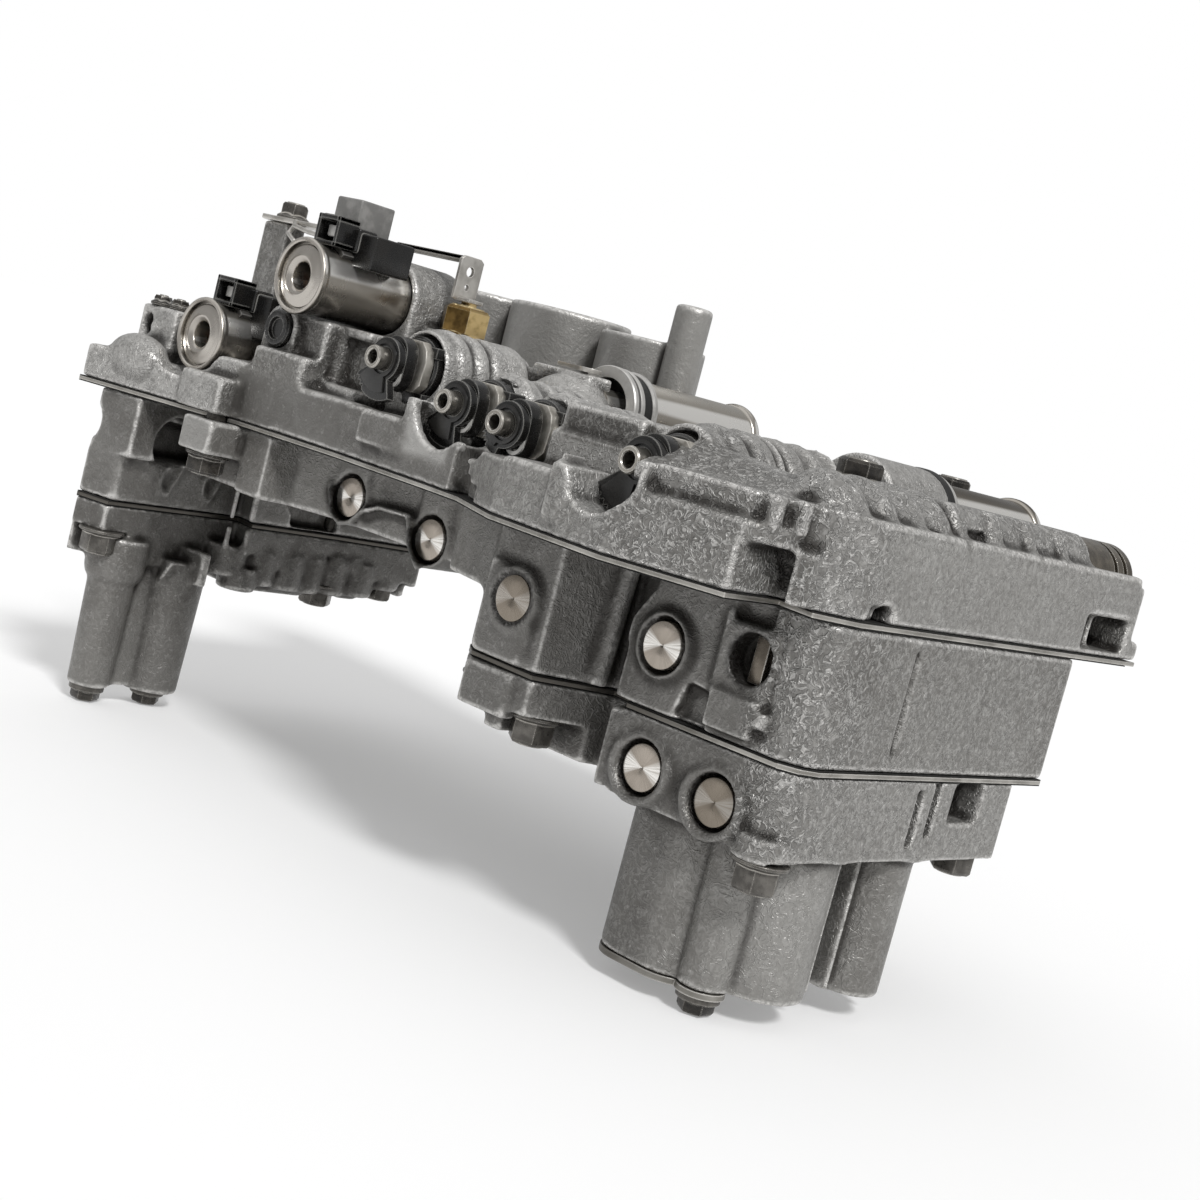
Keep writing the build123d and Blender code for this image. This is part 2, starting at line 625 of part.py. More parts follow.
# Cover under the accumulator bores
with BuildPart() as tower_covers:
    with BuildSketch(Plane.XY.offset(foot_head)):
        with Locations(((tower_left + tower_right) / 2, (tower_front + tower_back) / 2)):
            RectangleRounded(tower_right - tower_left, tower_back - tower_front, tower_corner)
        with Locations(boss_centre):
            Circle(boss_radius)
        with Locations(rear_centre):
            Circle(rear_radius)
        with Locations((rear_centre[0] - 14.0, rear_centre[1] + 14.0), (rear_centre[0] + 14.0, rear_centre[1] - 14.0)):
            Circle(boss_radius)
    extrude(amount=cover_thick)
    bolt_holes(m5_feet[2:], m5_radius + hole_gap, foot_head, foot_head + cover_thick)
finish(tower_covers, "tower_covers")

# Bore plugs with a small turned centre mark
with BuildPart() as valve_plugs:
    for x, y, z in plugs_middle + plugs_lower:
        radius = bore_radius - fit_gap
        turned((x, y + plug_setback, z), REARWARD, [
            (0, 0.4), (0.4, 0), (radius - 0.3, 0), (radius, 0.3), (radius, plug_reach), (0, plug_reach),
        ])
finish(valve_plugs, "valve_plugs")

# Keys that hold the plugs, dropped in from the parting face
with BuildPart() as valve_keys:
    for (x, y, z), roof in [(m, z_middle_top) for m in middle_mouths] + [(m, z_lower_top) for m in lower_mouths]:
        key_front = y + plug_setback + plug_reach + 0.55
        block((x - key_width / 2, x + key_width / 2), (key_front, key_front + key_thick), (z - key_rise, roof))
finish(valve_keys, "valve_keys")

# Spool valves and their springs
spool_start = plug_setback + plug_reach + 0.55 + key_thick + spring_room + seat_gap
spool_reach = bore_reach - spool_start - seat_gap
valve_mouths = middle_mouths + lower_mouths
for number, (x, y, z) in enumerate(valve_mouths, start=1):
    land = bore_radius - fit_gap
    gap = (spool_reach - 3 * land_reach) / 2
    profile = [(0, 0)]
    for count in range(3):
        begin = count * (land_reach + gap)
        profile += [(land, begin), (land, begin + land_reach)]
        if count < 2:
            profile += [(spool_waist, begin + land_reach), (spool_waist, begin + land_reach + gap)]
    profile.append((0, spool_reach))
    with BuildPart() as spool:
        turned((x, y + spool_start, z), REARWARD, profile)
    finish(spool, "spool_" + str(number))
    spring_front = y + plug_setback + plug_reach + 0.55 + key_thick + 0.1
    coil_spring((x, spring_front, z), REARWARD, bore_radius - 1.6, spring_room, "valve_spring_" + str(number))

# Solenoid valves
names = ("a", "b", "c", "d")
plunger_start = core_reach + plunger_travel + 0.5
inner = case_radius - case_wall
for name, ((x, y, z), way, case_reach, begin, end) in zip(names, solenoids):
    with BuildPart() as case:
        turned((x, y, z), way, [
            (core_hole, 0.6), (core_radius, 0.6), (core_radius + 0.8, 1.2), (flange_radius - 1.2, 1.2),
            (flange_radius - 0.9, 0), (flange_radius, 0.4), (flange_radius, flange_thick),
            (case_radius, flange_thick), (case_radius, case_reach), (nozzle_radius, case_reach),
            (nozzle_radius, case_reach + seal_thick + nozzle_reach),
            (1.5, case_reach + seal_thick + nozzle_reach), (1.5, case_reach - 3.0), (inner, case_reach - 3.0),
            (inner, flange_thick + 1.0), (core_radius, flange_thick + 1.0), (core_radius, core_reach),
            (core_hole, core_reach),
        ])
    finish(case, "solenoid_" + name + "_case")
    with BuildPart() as plunger:
        turned((x, y, z), way, [
            (0, plunger_start), (plunger_radius, plunger_start),
            (plunger_radius, plunger_start + plunger_reach), (0, plunger_start + plunger_reach),
        ])
    finish(plunger, "solenoid_" + name + "_plunger")

with BuildPart() as coils:
    for place, way, case_reach, begin, end in solenoids:
        turned(place, way, ring_profile(coil_inner, inner - 0.3, core_reach + 0.3, case_reach - 3.3))
finish(coils, "solenoid_coils")

with BuildPart() as seals:
    for (x, y, z), way, case_reach, begin, end in solenoids:
        start = (x, y + way[1] * case_reach, z)
        turned(start, way, ring_profile(nozzle_radius + 0.1, case_radius - 0.3, 0.1, seal_thick - 0.1))
finish(seals, "solenoid_seals")

# Connectors on solenoids A and B: saddle on the case, cover at its right, socket that faces the front
for name, (x, y, z) in (("a", solenoid_a), ("b", solenoid_b)):
    with BuildPart() as connector:
        top = z + case_radius
        reach = 30.0 if name == "a" else 18.0
        block((x - 8.0, x + 9.5), (y + 8.0, y + reach), (z + 3.0, top + 5.5))
        block((x - 6.5, x + 5.5), (y + 3.2, y + 12.0), (top - 0.5, top + 9.0))
        if name == "a":
            block((x - 7.0, x + 4.5), (y + 13.0, y + 28.0), (top + 5.0, top + 15.5))
        rod((x, y, z), REARWARD, case_radius + 0.15, 40.0, mode=Mode.SUBTRACT)
        block((x - 4.7, x + 3.7), (y + 3.1, y + 9.0), (top + 1.6, top + 7.4), mode=Mode.SUBTRACT)
        block((x - 2.4, x + 1.4), (y + 4.2, y + 9.5), (top + 3.2, top + 5.6))
    finish(connector, "solenoid_" + name + "_connector")

# Adjusters: black sleeve with a lobe and slab, steel tube, steel clip
for number, (x, y, z) in enumerate(adjusters, start=1):
    with BuildPart() as sleeve:
        turned((x, y, z), REARWARD, [
            (tube_radius + 0.05, 3.0), (5.6, 3.0), (6.4, 3.8), (6.4, 6.2), (4.6, 6.2), (4.6, collar_offset),
            (8.6, collar_offset), (8.6, housing_offset - 0.2), (sleeve_radius, housing_offset - 0.2),
            (sleeve_radius, housing_offset + spigot_reach), (tube_radius + 0.05, housing_offset + spigot_reach),
        ])
        with BuildSketch(Plane(origin=(x, y + 6.2, z), x_dir=(1, 0, 0), z_dir=FRONTWARD)):
            with Locations((-0.5, 1.2)):
                Circle(6.4)
            Circle(tube_radius + 0.05, mode=Mode.SUBTRACT)
        extrude(amount=2.2)
        with BuildSketch(Plane(origin=(x, y + 10.2, z), x_dir=(1, 0, 0), z_dir=FRONTWARD)):
            SlotOverall(15.0, 8.6, rotation=80.0)
            Circle(tube_radius + 0.05, mode=Mode.SUBTRACT)
        extrude(amount=2.8)
    finish(sleeve, "adjuster_" + str(number) + "_sleeve")

with BuildPart() as tubes:
    for place in adjusters:
        turned(place, REARWARD, ring_profile(tube_bore, tube_radius, 0, tube_reach))
finish(tubes, "adjuster_tubes")

with BuildPart() as clips:
    for x, y, z in adjusters:
        with BuildSketch(Plane(origin=(x, y + 12.6, z), x_dir=(1, 0, 0), z_dir=FRONTWARD)) as clip_plan:
            SlotOverall(clip_height, 11.6, rotation=80.0)
            Circle(4.7, mode=Mode.SUBTRACT)
            with Locations((0, 8.0)):
                Rectangle(9.4, 16.0, mode=Mode.SUBTRACT)
        extrude(clip_plan.sketch, amount=2.0)
finish(clips, "adjuster_clips")

# Accumulator pistons and springs
accumulators = [
    (piston_one[0], piston_one[1], z_tower + accumulator_depth - seat_gap, DOWNWARD),
    (rear_centre[0], rear_centre[1], z_tower + accumulator_depth - seat_gap, DOWNWARD),
    (lobe_piston[0], lobe_piston[1], z_deck + seat_gap, UPWARD),
]
for number, (x, y, z, way) in enumerate(accumulators, start=1):
    cup = piston_radius - fit_gap
    with BuildPart() as piston:
        turned((x, y, z), way, [
            (0, 0), (cup - 0.6, 0), (cup, 0.6), (cup, piston_height), (cup - 3.0, piston_height),
            (cup - 3.0, 3.0), (0, 3.0),
        ])
    finish(piston, "accumulator_piston_" + str(number))
    coil_spring((x, y, z + way[2] * 3.3), way, cup - 4.4, accumulator_depth - 4.0, "accumulator_spring_" + str(number))


def flange_bolt(x, y, seat, way, radius, across, head, flange, shank):
    """Hexagon flange bolt: the flange sits at the seat height, the head stands along the way given."""
    sign = way[2]
    rod((x, y, seat), way, flange, flange_rise)
    with BuildSketch(Plane(origin=(x, y, seat + sign * flange_rise), z_dir=way)) as hexagon:
        RegularPolygon(across / 2, 6, major_radius=False)
    extrude(hexagon.sketch, amount=head - flange_rise)
    rod((x, y, seat), (0, 0, -sign), radius, shank)


with BuildPart() as lower_bolts:
    for x, y, seat in m6_lower:
        flange_bolt(x, y, seat, DOWNWARD, m6_radius, m6_across, m6_head, m6_flange, z_middle + m6_grip - 1 - seat)
finish(lower_bolts, "lower_bolts")

with BuildPart() as deck_bolts:
    for x, y in m6_deck:
        seat = z_deck + deck_boss - 2.0
        flange_bolt(x, y, seat, UPWARD, m6_radius, m6_across, m6_head, m6_flange, seat - z_middle_top + 7.0)
    x, y, seat = m6_lug
    flange_bolt(x, y, seat, DOWNWARD, m6_radius, m6_across, m6_head, m6_flange, 10.0 + stack + m6_grip)
finish(deck_bolts, "deck_bolts")

with BuildPart() as small_bolts:
    for x, y, cover in m5_feet:
        flange_bolt(x, y, foot_head, DOWNWARD, m5_radius, m5_across, foot_head, m5_flange, 14.0 + cover)
    flange_bolt(left + 16.5, front + 57.0, z_upper + 62.9, UPWARD, m5_radius, m5_across, 5.0, m5_flange, 12.0)
finish(small_bolts, "small_bolts")

# Temperature sensor, its strap, and the hold-down bracket
sensor = (left + 95.0, front + 74.0, z_upper + 40.5)
with BuildPart() as temperature_sensor:
    with BuildSketch(Plane.XY.offset(sensor[2])) as nut:
        with Locations(sensor[:2]):
            RegularPolygon(6.5, 6, major_radius=False, rotation=10.0)
    extrude(nut.sketch, amount=8.0)
    rod((sensor[0], sensor[1], sensor[2] + 8.0), UPWARD, 2.0, 2.6)
finish(temperature_sensor, "temperature_sensor")

strap_thick = 1.2
strap_top = z_upper + 64.0
with BuildPart() as sensor_strap:
    block((left + 60.0, left + 92.2), (front + 69.5, front + 79.5), (strap_top - strap_thick, strap_top))
    block((left + 91.0, left + 92.2), (front + 69.5, front + 79.5), (sensor[2] + 10.6, strap_top))
    block((left + 91.0, left + 97.0), (front + 71.0, front + 77.0), (sensor[2] + 10.6, sensor[2] + 11.8))
    rod((left + 90.0, front + 74.5, strap_top - 4.5), RIGHTWARD, 1.4, 4.0, mode=Mode.SUBTRACT)
finish(sensor_strap, "sensor_strap")

with BuildPart() as hold_bracket:
    block((left + 7.0, left + 50.0), (front + 50.0, front + 62.0), (z_upper + 61.5, z_upper + 62.9))
    block((left + 48.6, left + 50.0), (front + 50.0, front + 62.0), (z_upper + 54.0, z_upper + 61.5))
    rod((left + 16.5, front + 57.0, z_upper + 61.0), UPWARD, m5_radius + hole_gap, 3.0, mode=Mode.SUBTRACT)
finish(hold_bracket, "hold_bracket")

with BuildPart() as end_plug_part:
    groove = end_plug_radius - fit_gap
    turned(end_plug, FRONTWARD, [
        (0, 0.8), (groove - 2.5, 0), (groove - 0.8, 0), (groove, 0.8), (groove, 4.0), (groove - 1.2, 4.0),
        (groove - 1.2, 6.0), (groove, 6.0), (groove, 9.5), (groove - 1.2, 9.5), (groove - 1.2, 11.5),
        (groove, 11.5), (groove, end_plug_reach - 0.3), (0, end_plug_reach - 0.3),
    ])
finish(end_plug_part, "end_plug")

with BuildPart() as deck_plug:
    turned(black_plug, REARWARD, [
        (0, 1.2), (3.0, 1.2), (3.4, 0), (5.0, 0), (black_plug_radius, 0.6), (black_plug_radius, 9.0), (0, 9.0),
    ])
finish(deck_plug, "deck_plug")

ball_radius = 3.0
with BuildPart() as check_balls:
    for count in range(3):
        x = right - 85.5 + 22.0 * count
        with Locations((x, back - 30.0, z_middle_top - ball_radius - seat_gap)):
            Sphere(ball_radius)
finish(check_balls, "check_balls")
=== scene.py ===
import json
import math

import bmesh
import bpy
import numpy as np
from mathutils import Matrix, Vector


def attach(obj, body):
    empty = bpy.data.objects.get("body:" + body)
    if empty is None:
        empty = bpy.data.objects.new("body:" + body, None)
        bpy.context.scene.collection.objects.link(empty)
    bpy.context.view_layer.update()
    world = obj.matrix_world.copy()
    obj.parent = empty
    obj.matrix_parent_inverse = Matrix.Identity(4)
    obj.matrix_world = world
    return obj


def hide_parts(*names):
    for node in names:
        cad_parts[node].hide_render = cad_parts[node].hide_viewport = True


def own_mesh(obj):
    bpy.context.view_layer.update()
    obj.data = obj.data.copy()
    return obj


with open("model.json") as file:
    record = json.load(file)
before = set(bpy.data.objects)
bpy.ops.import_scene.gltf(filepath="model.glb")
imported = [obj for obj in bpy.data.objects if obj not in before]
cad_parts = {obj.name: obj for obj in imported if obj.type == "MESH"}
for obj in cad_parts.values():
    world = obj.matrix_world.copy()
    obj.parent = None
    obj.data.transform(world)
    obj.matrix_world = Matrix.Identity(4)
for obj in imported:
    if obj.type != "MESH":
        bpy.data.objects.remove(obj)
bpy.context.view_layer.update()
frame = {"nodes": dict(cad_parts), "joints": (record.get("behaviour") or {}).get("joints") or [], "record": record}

nodes = frame["nodes"]
slot_of = {entry["node"]: entry["material_slot"] for entry in frame["record"]["subparts"]}
scene = bpy.context.scene
MM = 0.001
WELD_REACH = 2e-6
AXIS_GAP = 0.02
BEVEL_ANGLE = math.radians(32)

# Directions in the frame
ACROSS = Vector((1, 0, 0))
REAR = Vector((0, 1, 0))
UP = Vector((0, 0, 1))
DOWN = Vector((0, 0, -1))


def spot(radius, degrees, middle=(0, 0)):
    """Point on a circle."""
    angle = math.radians(degrees)
    return middle[0] + radius * math.cos(angle), middle[1] + radius * math.sin(angle)


def arc(radius, start, stop, step, middle=(0, 0)):
    """Points on a circle, from one angle up to but without another."""
    return [spot(radius, degrees, middle) for degrees in range(start, stop, step)]


# Closed forms, in millimetres

class Shape:
    """A set of closed forms in one mesh; they may run into each other."""

    def __init__(self):
        self.points = []
        self.faces = []

    def add(self, points, faces):
        first = len(self.points)
        self.points.extend(tuple(p) for p in points)
        self.faces.extend(tuple(first + i for i in face) for face in faces)
        return self

    def box(self, x0, x1, y0, y1, z0, z1):
        points = [(x, y, z) for x in (x0, x1) for y in (y0, y1) for z in (z0, z1)]
        faces = [(0, 1, 3, 2), (4, 6, 7, 5), (0, 4, 5, 1), (2, 3, 7, 6), (0, 2, 6, 4), (1, 5, 7, 3)]
        return self.add(points, faces)

    def loft(self, rings):
        """Closed form through rings of equal point counts, capped at both ends."""
        count = len(rings[0])
        points = [p for ring in rings for p in ring]
        faces = [tuple(reversed(range(count)))]
        for level in range(len(rings) - 1):
            low, high = level * count, (level + 1) * count
            for i in range(count):
                j = (i + 1) % count
                faces.append((low + i, low + j, high + j, high + i))
        last = (len(rings) - 1) * count
        faces.append(tuple(range(last, last + count)))
        return self.add(points, faces)

    def turned(self, start, way, profile, sides=48):
        """Turned form: the profile holds (radius, distance along the axis) pairs."""
        axis = Vector(way).normalized()
        side = axis.orthogonal().normalized()
        across = axis.cross(side)
        rings = []
        for radius, reach in profile:
            centre = Vector(start) + axis * reach
            radius = max(radius, 0.001)
            ring = []
            for i in range(sides):
                angle = 2 * math.pi * i / sides
                ring.append(centre + side * (radius * math.cos(angle)) + across * (radius * math.sin(angle)))
            rings.append(ring)
        return self.loft(rings)

    def rod(self, start, end, radius, end_radius=None, sides=40):
        way = Vector(end) - Vector(start)
        far = radius if end_radius is None else end_radius
        return self.turned(start, way, [(radius, 0), (far, way.length)], sides)

    def bore(self, x, z, near, far, radius, sides=40):
        """Round bar from front to rear."""
        return self.rod((x, near, z), (x, far, z), radius, sides=sides)

    def pillar(self, x, y, low, high, radius, top_radius=None):
        return self.rod((x, y, low), (x, y, high), radius, top_radius)

    def ball(self, centre, radius, scale=(1, 1, 1), rings=16, sides=28):
        made = []
        for level in range(rings + 1):
            polar = math.pi * level / rings
            wide = max(math.sin(polar), 0.002)
            made.append([(centre[0] + scale[0] * radius * wide * math.cos(2 * math.pi * i / sides),
                          centre[1] + scale[1] * radius * wide * math.sin(2 * math.pi * i / sides),
                          centre[2] - scale[2] * radius * math.cos(polar)) for i in range(sides)])
        return self.loft(made)

    def prism(self, outline, low, high):
        """Upright form over an outline of (x, y) pairs."""
        return self.loft([[(x, y, low) for x, y in outline], [(x, y, high) for x, y in outline]])

    def slab(self, outline, origin, across, up, depth):
        """Flat outline in the plane of two directions, given a depth."""
        origin = Vector(origin)
        normal = across.cross(up).normalized() * depth
        near = [origin + across * u + up * v for u, v in outline]
        return self.loft([near, [p + normal for p in near]])

    def panel(self, outline, origin, depth):
        """Flat outline of (x, z) pairs that faces the front, given a depth towards the rear."""
        return self.slab(outline, origin, ACROSS, UP, -depth)

    def run(self, path, radius, sides=16):
        """Round bar along a path, with balls at its corners."""
        for start, end in zip(path, path[1:]):
            self.rod(start, end, radius, sides=sides)
        for place in path:
            self.ball(place, radius, rings=8, sides=sides)
        return self

    def moved(self, dx, dz):
        self.points = [(x + dx, y, z + dz) for x, y, z in self.points]
        return self

    def mesh(self, name):
        made = bpy.data.meshes.new(name)
        made.from_pydata([(x * MM, y * MM, z * MM) for x, y, z in self.points], [], self.faces)
        made.validate()
        with_bmesh(made, lambda work: (
            bmesh.ops.recalc_face_normals(work, faces=work.faces),
            bmesh.ops.triangulate(work, faces=[f for f in work.faces if len(f.verts) > 4])))
        return made


# Meshes and objects

def with_bmesh(mesh, change):
    """Runs a change on the mesh as a bmesh."""
    work = bmesh.new()
    work.from_mesh(mesh)
    change(work)
    work.to_mesh(mesh)
    work.free()


def smooth_faces(mesh):
    mesh.polygons.foreach_set("use_smooth", [True] * len(mesh.polygons))


def crisp(mesh, degrees):
    """Smooth faces with sharp edges where they meet at more than an angle."""
    smooth_faces(mesh)
    mesh.set_sharp_from_angle(angle=math.radians(degrees))


def new_object(name, mesh):
    made = bpy.data.objects.new(name, mesh)
    scene.collection.objects.link(made)
    return made


def settle(obj):
    """Turns the modifiers into mesh."""
    bpy.context.view_layer.update()
    graph = bpy.context.evaluated_depsgraph_get()
    old, new = obj.data, bpy.data.meshes.new_from_object(obj.evaluated_get(graph))
    obj.modifiers.clear()
    obj.data = new
    bpy.data.meshes.remove(old)


def thinned(obj, share):
    """Keeps about this share of the triangles."""
    obj.modifiers.new("thinner", "DECIMATE").ratio = share
    settle(obj)


def welded(node):
    """A joined-up copy of a CAD node's mesh."""
    made = nodes[node].data.copy()
    with_bmesh(made, lambda work: bmesh.ops.remove_doubles(work, verts=work.verts, dist=WELD_REACH))
    made.materials.clear()
    return made


def round_edges(obj, width_mm, segments=2):
    edge = obj.modifiers.new("edge", "BEVEL")
    edge.width = width_mm * MM
    edge.segments = segments
    edge.limit_method = "ANGLE"
    edge.angle_limit = BEVEL_ANGLE


def carve(obj, form):
    """Takes closed forms away from a piece."""
    tool = new_object("tool", form.mesh("tool"))
    change = obj.modifiers.new("cut", "BOOLEAN")
    change.operation = "DIFFERENCE"
    change.solver = "EXACT"
    change.use_self = True
    change.object = tool
    settle(obj)
    bpy.data.objects.remove(tool)


def join_form(obj, form):
    if not form.points:
        return
    extra = form.mesh("extra")
    with_bmesh(obj.data, lambda work: work.from_mesh(extra))
    bpy.data.meshes.remove(extra)


def lathe(name, start, way, profile, sides=96):
    """Turned piece: a closed outline of (radius, distance) pairs; keeps the way each point was turned."""
    axis = Vector(way).normalized()
    side = axis.orthogonal().normalized()
    across = axis.cross(side)
    count = len(profile)
    points, faces, turns = [], [], []
    for i in range(sides):
        angle = 2 * math.pi * i / sides
        out = side * math.cos(angle) + across * math.sin(angle)
        for radius, reach in profile:
            points.append((Vector(start) + axis * reach + out * max(radius, AXIS_GAP)) * MM)
            turns.append(axis.cross(out))
    for i in range(sides):
        near, far = i * count, (i + 1) % sides * count
        for j in range(count):
            k = (j + 1) % count
            if max(profile[j][0], profile[k][0]) > AXIS_GAP:
                faces.append((near + j, near + k, far + k, far + j))
    made = bpy.data.meshes.new(name)
    made.from_pydata(points, [], faces)
    with_bmesh(made, lambda work: bmesh.ops.recalc_face_normals(work, faces=work.faces))
    turn = made.attributes.new("turn", "FLOAT_VECTOR", "POINT")
    turn.data.foreach_set("vector", np.array([tuple(t) for t in turns], np.float32).ravel())
    crisp(made, 35)
    return new_object(name, made)


def solid(name, form, width=0.25, segments=2):
    """Machined or moulded piece from closed forms, with small rounded edges."""
    obj = new_object(name, form.mesh(name))
    if width:
        round_edges(obj, width, segments)
        settle(obj)
    crisp(obj.data, 40)
    return obj


def piece(obj, slot, *replaced, paint=None, body="valve_body"):
    """Gives a new piece its material, by default its slot's, and its body, and lets it stand for CAD nodes."""
    obj.data.materials.clear()
    obj.data.materials.append(materials[paint or slot])
    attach(obj, body)
    if replaced:
        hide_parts(*replaced)


def dress(node, paint, width):
    """Finish for a CAD node that stays: small rounded edges and its own material."""
    obj = nodes[node]
    obj.modifiers.new("join", "WELD").merge_threshold = WELD_REACH
    if width:
        round_edges(obj, width)
    obj.modifiers.new("even", "WEIGHTED_NORMAL").weight = 60
    obj.data.materials.clear()
    obj.data.materials.append(materials[paint])


# Painted light and shade, partly own tone, of each casting stretch, and how wrinkled its skin, in frame mm
Z_UP, Z_DECK, Z_RIM = 100.8, 114.0, 123.7
ANY = 400.0
EVERYWHERE = ((-ANY, -ANY, 0), (ANY, ANY, ANY))
SHADE_AND_TONE = {
    "upper_body": [
        ((-ANY, -ANY, Z_DECK + 2), (ANY, ANY, ANY), 0.40, 6.0),
        ((-40, -52, Z_DECK + 4), (40, 10, ANY), 0.62, 10.0),
        ((-ANY, -ANY, 0), (-86.5, -40, ANY), 0.62, 2.5),
        ((-86.5, -64, 0), (-36, -52, Z_UP + 15), -0.28, 2.0),
        ((-36, -72, 0), (28, -58, Z_UP + 14), -0.20, 3.0),
        ((28, -ANY, 0), (124, -60, Z_UP + 14), 0.20, 3.0),
        ((78, -84, Z_UP + 4), (100, -66, Z_UP + 18), 0.62, 3.0),
        ((-6, -70, Z_UP + 6), (14, -48, Z_UP + 17), 0.55, 3.0),
        ((-86, -59, Z_UP + 16), (-42, -30, Z_UP + 35), -0.42, 3.0),
        ((-60, -58, Z_UP + 14), (-34, -46, Z_UP + 20), 0.80, 3.0),
        ((44, -58, Z_UP + 22), (70, -50, Z_UP + 30), -0.5, 1.5),
        ((92, -80, Z_UP + 23), (124, -60, Z_UP + 32), -0.10, 3.0),
        ((110, -ANY, 0), (132, -50, Z_UP + 23), 0.12, 4.0),
        ((130, -75, 0), (137, -63, Z_UP + 23), -0.30, 3.0),
        ((134, -64, 0), (141.5, -50, ANY), 0.42, 3.0),
        ((138, -50, 0), (142, ANY, ANY), 0.22, 3.0),
        ((118, -62, Z_DECK + 10), (136, -20, ANY), 0.50, 4.0),
        ((-134, -40, Z_UP + 22), (-115, -20, ANY), 0.05, 3.0),
    ],
    "middle_body": [
        ((-ANY, -ANY, 0), (-95, ANY, ANY), -0.18, 8.0),
        ((-97, -ANY, 86), (-82, -56, 101), 0.30, 2.0),
        ((30, -ANY, 0), (128, -40, ANY), -0.28, 4.0),
        ((72, -62, 0), (87, -46, ANY), -0.42, 4.0),
        ((128, -60, 0), (142, -48, ANY), 0.25, 3.0),
        ((138, -50, 0), (142, ANY, ANY), 0.02, 4.0),
    ],
    "right_lower_body": [
        ((30, -ANY, 40), (126, -40, ANY), -0.34, 5.0),
        ((80, -60, 0), (108, -40, 42), -0.42, 6.0),
        ((134, -60, 42), (142, ANY, ANY), 0.22, 4.0),
        ((124, -50, 8), (142, -10, 40), 0.22, 8.0),
    ],
    "left_lower_body": [(*EVERYWHERE, -0.28, 5.0), ((-ANY, -66, 0), (-122, -45, 55), -0.05, 6.0)],
    "rear_body": [(*EVERYWHERE, 0.24, 5.0)],
}
WRINKLES = {
    "upper_body": [
        ((-ANY, -ANY, 0), (-86, -40, ANY), 0.45, 3.0),
        ((-86, -62, 0), (-36, -52, Z_UP + 15), 0.03, 3.0),
        ((-36, -70, 0), (28, -50, Z_UP + 14), 0.15, 6.0),
        ((28, -ANY, 0), (98, -60, Z_UP + 14), 0.50, 6.0),
        ((92, -ANY, 0), (142, -44, ANY), 0.95, 8.0),
        ((116, -64, Z_DECK + 8), (142, 60, ANY), 0.9, 6.0),
        ((138, -44, 0), (142, ANY, Z_RIM - 2), 0.34, 6.0),
    ],
    "middle_body": [
        ((-ANY, -ANY, 0), (124, ANY, ANY), 0.12, 4.0),
        ((126, -60, 0), (142, -36, ANY), 1.0, 5.0),
        ((138, -36, 0), (142, ANY, ANY), 0.45, 5.0),
    ],
    "right_lower_body": [
        ((-ANY, -ANY, 0), (ANY, ANY, 44), 0.20, 4.0),
        ((-ANY, -ANY, 44), (126, ANY, ANY), 0.15, 4.0),
        ((126, -60, 44), (142, -36, ANY), 0.9, 5.0),
        ((138, -36, 44), (142, ANY, ANY), 0.5, 5.0),
    ],
    "left_lower_body": [(*EVERYWHERE, 0.12, 5.0)],
    "rear_body": [(*EVERYWHERE, 0.03, 5.0)],
}

# Bore mouths in the front faces: x, y of the face, z
PLUGGED = {
    "middle_body": [(56.5, -72, 81.7), (95, -59, 81.6), (-46, -42, 87.8), (-9, -42, 84.0)],
    "right_lower_body": [(97, -57, 52.0), (120, -57, 51.2)],
}
OPEN_BORE = (120.5, -57, 85.5)
MOUTH_RADIUS, MOUTH_EDGE, MOUTH_REACH = 7.0, 9.2, 5


# Castings: one skin over the solid and its cast details

def neighbour_sum(values, edges):
    """For each point, the sum of a value over the points that an edge joins to it."""
    near, far = edges[:, 0], edges[:, 1]
    return (np.bincount(near, values[far], minlength=len(values))
            + np.bincount(far, values[near], minlength=len(values)))


def relaxed(points, edges, rounds, share):
    """Points moved towards the middle of their neighbours."""
    links = np.maximum(neighbour_sum(np.ones(len(points)), edges), 1)
    for step in range(rounds):
        total = np.stack([neighbour_sum(points[:, axis], edges) for axis in range(3)], axis=1)
        points = points + share * (total / links[:, None] - points)
    return points


def spread(values, edges, rounds):
    """A value on the points, blurred over the neighbours."""
    links = neighbour_sum(np.ones(len(values)), edges) + 1
    for step in range(rounds):
        values = (values + neighbour_sum(values, edges)) / links
    return values


def read(mesh):
    points = np.empty(len(mesh.vertices) * 3, np.float32)
    mesh.vertices.foreach_get("co", points)
    edges = np.empty(len(mesh.edges) * 2, np.int32)
    mesh.edges.foreach_get("vertices", edges)
    return points.reshape(-1, 3).astype(float), edges.reshape(-1, 2)


def height_over(mesh, points, base):
    """How far each point stands out of a smoother base, in millimetres; negative in a hollow."""
    normals = np.empty(len(mesh.vertices) * 3, np.float32)
    mesh.vertices.foreach_get("normal", normals)
    return ((points - base) * normals.reshape(-1, 3)).sum(1) / MM


def store(mesh, name, values):
    attribute = mesh.attributes.new(name, "FLOAT", "POINT")
    attribute.data.foreach_set("value", values.astype(np.float32))


def field(points, regions, start):
    """Value on the points from soft-edged boxes: (low corner, high corner, value, edge width)."""
    values = np.full(len(points), start, float)
    place = points / MM
    for low, high, value, soft in regions:
        inside = np.ones(len(points))
        for axis in range(3):
            rise = np.clip((place[:, axis] - low[axis]) / soft + 0.5, 0, 1)
            fall = np.clip((high[axis] - place[:, axis]) / soft + 0.5, 0, 1)
            inside *= rise * fall
        values += inside * (value - values)
    return values


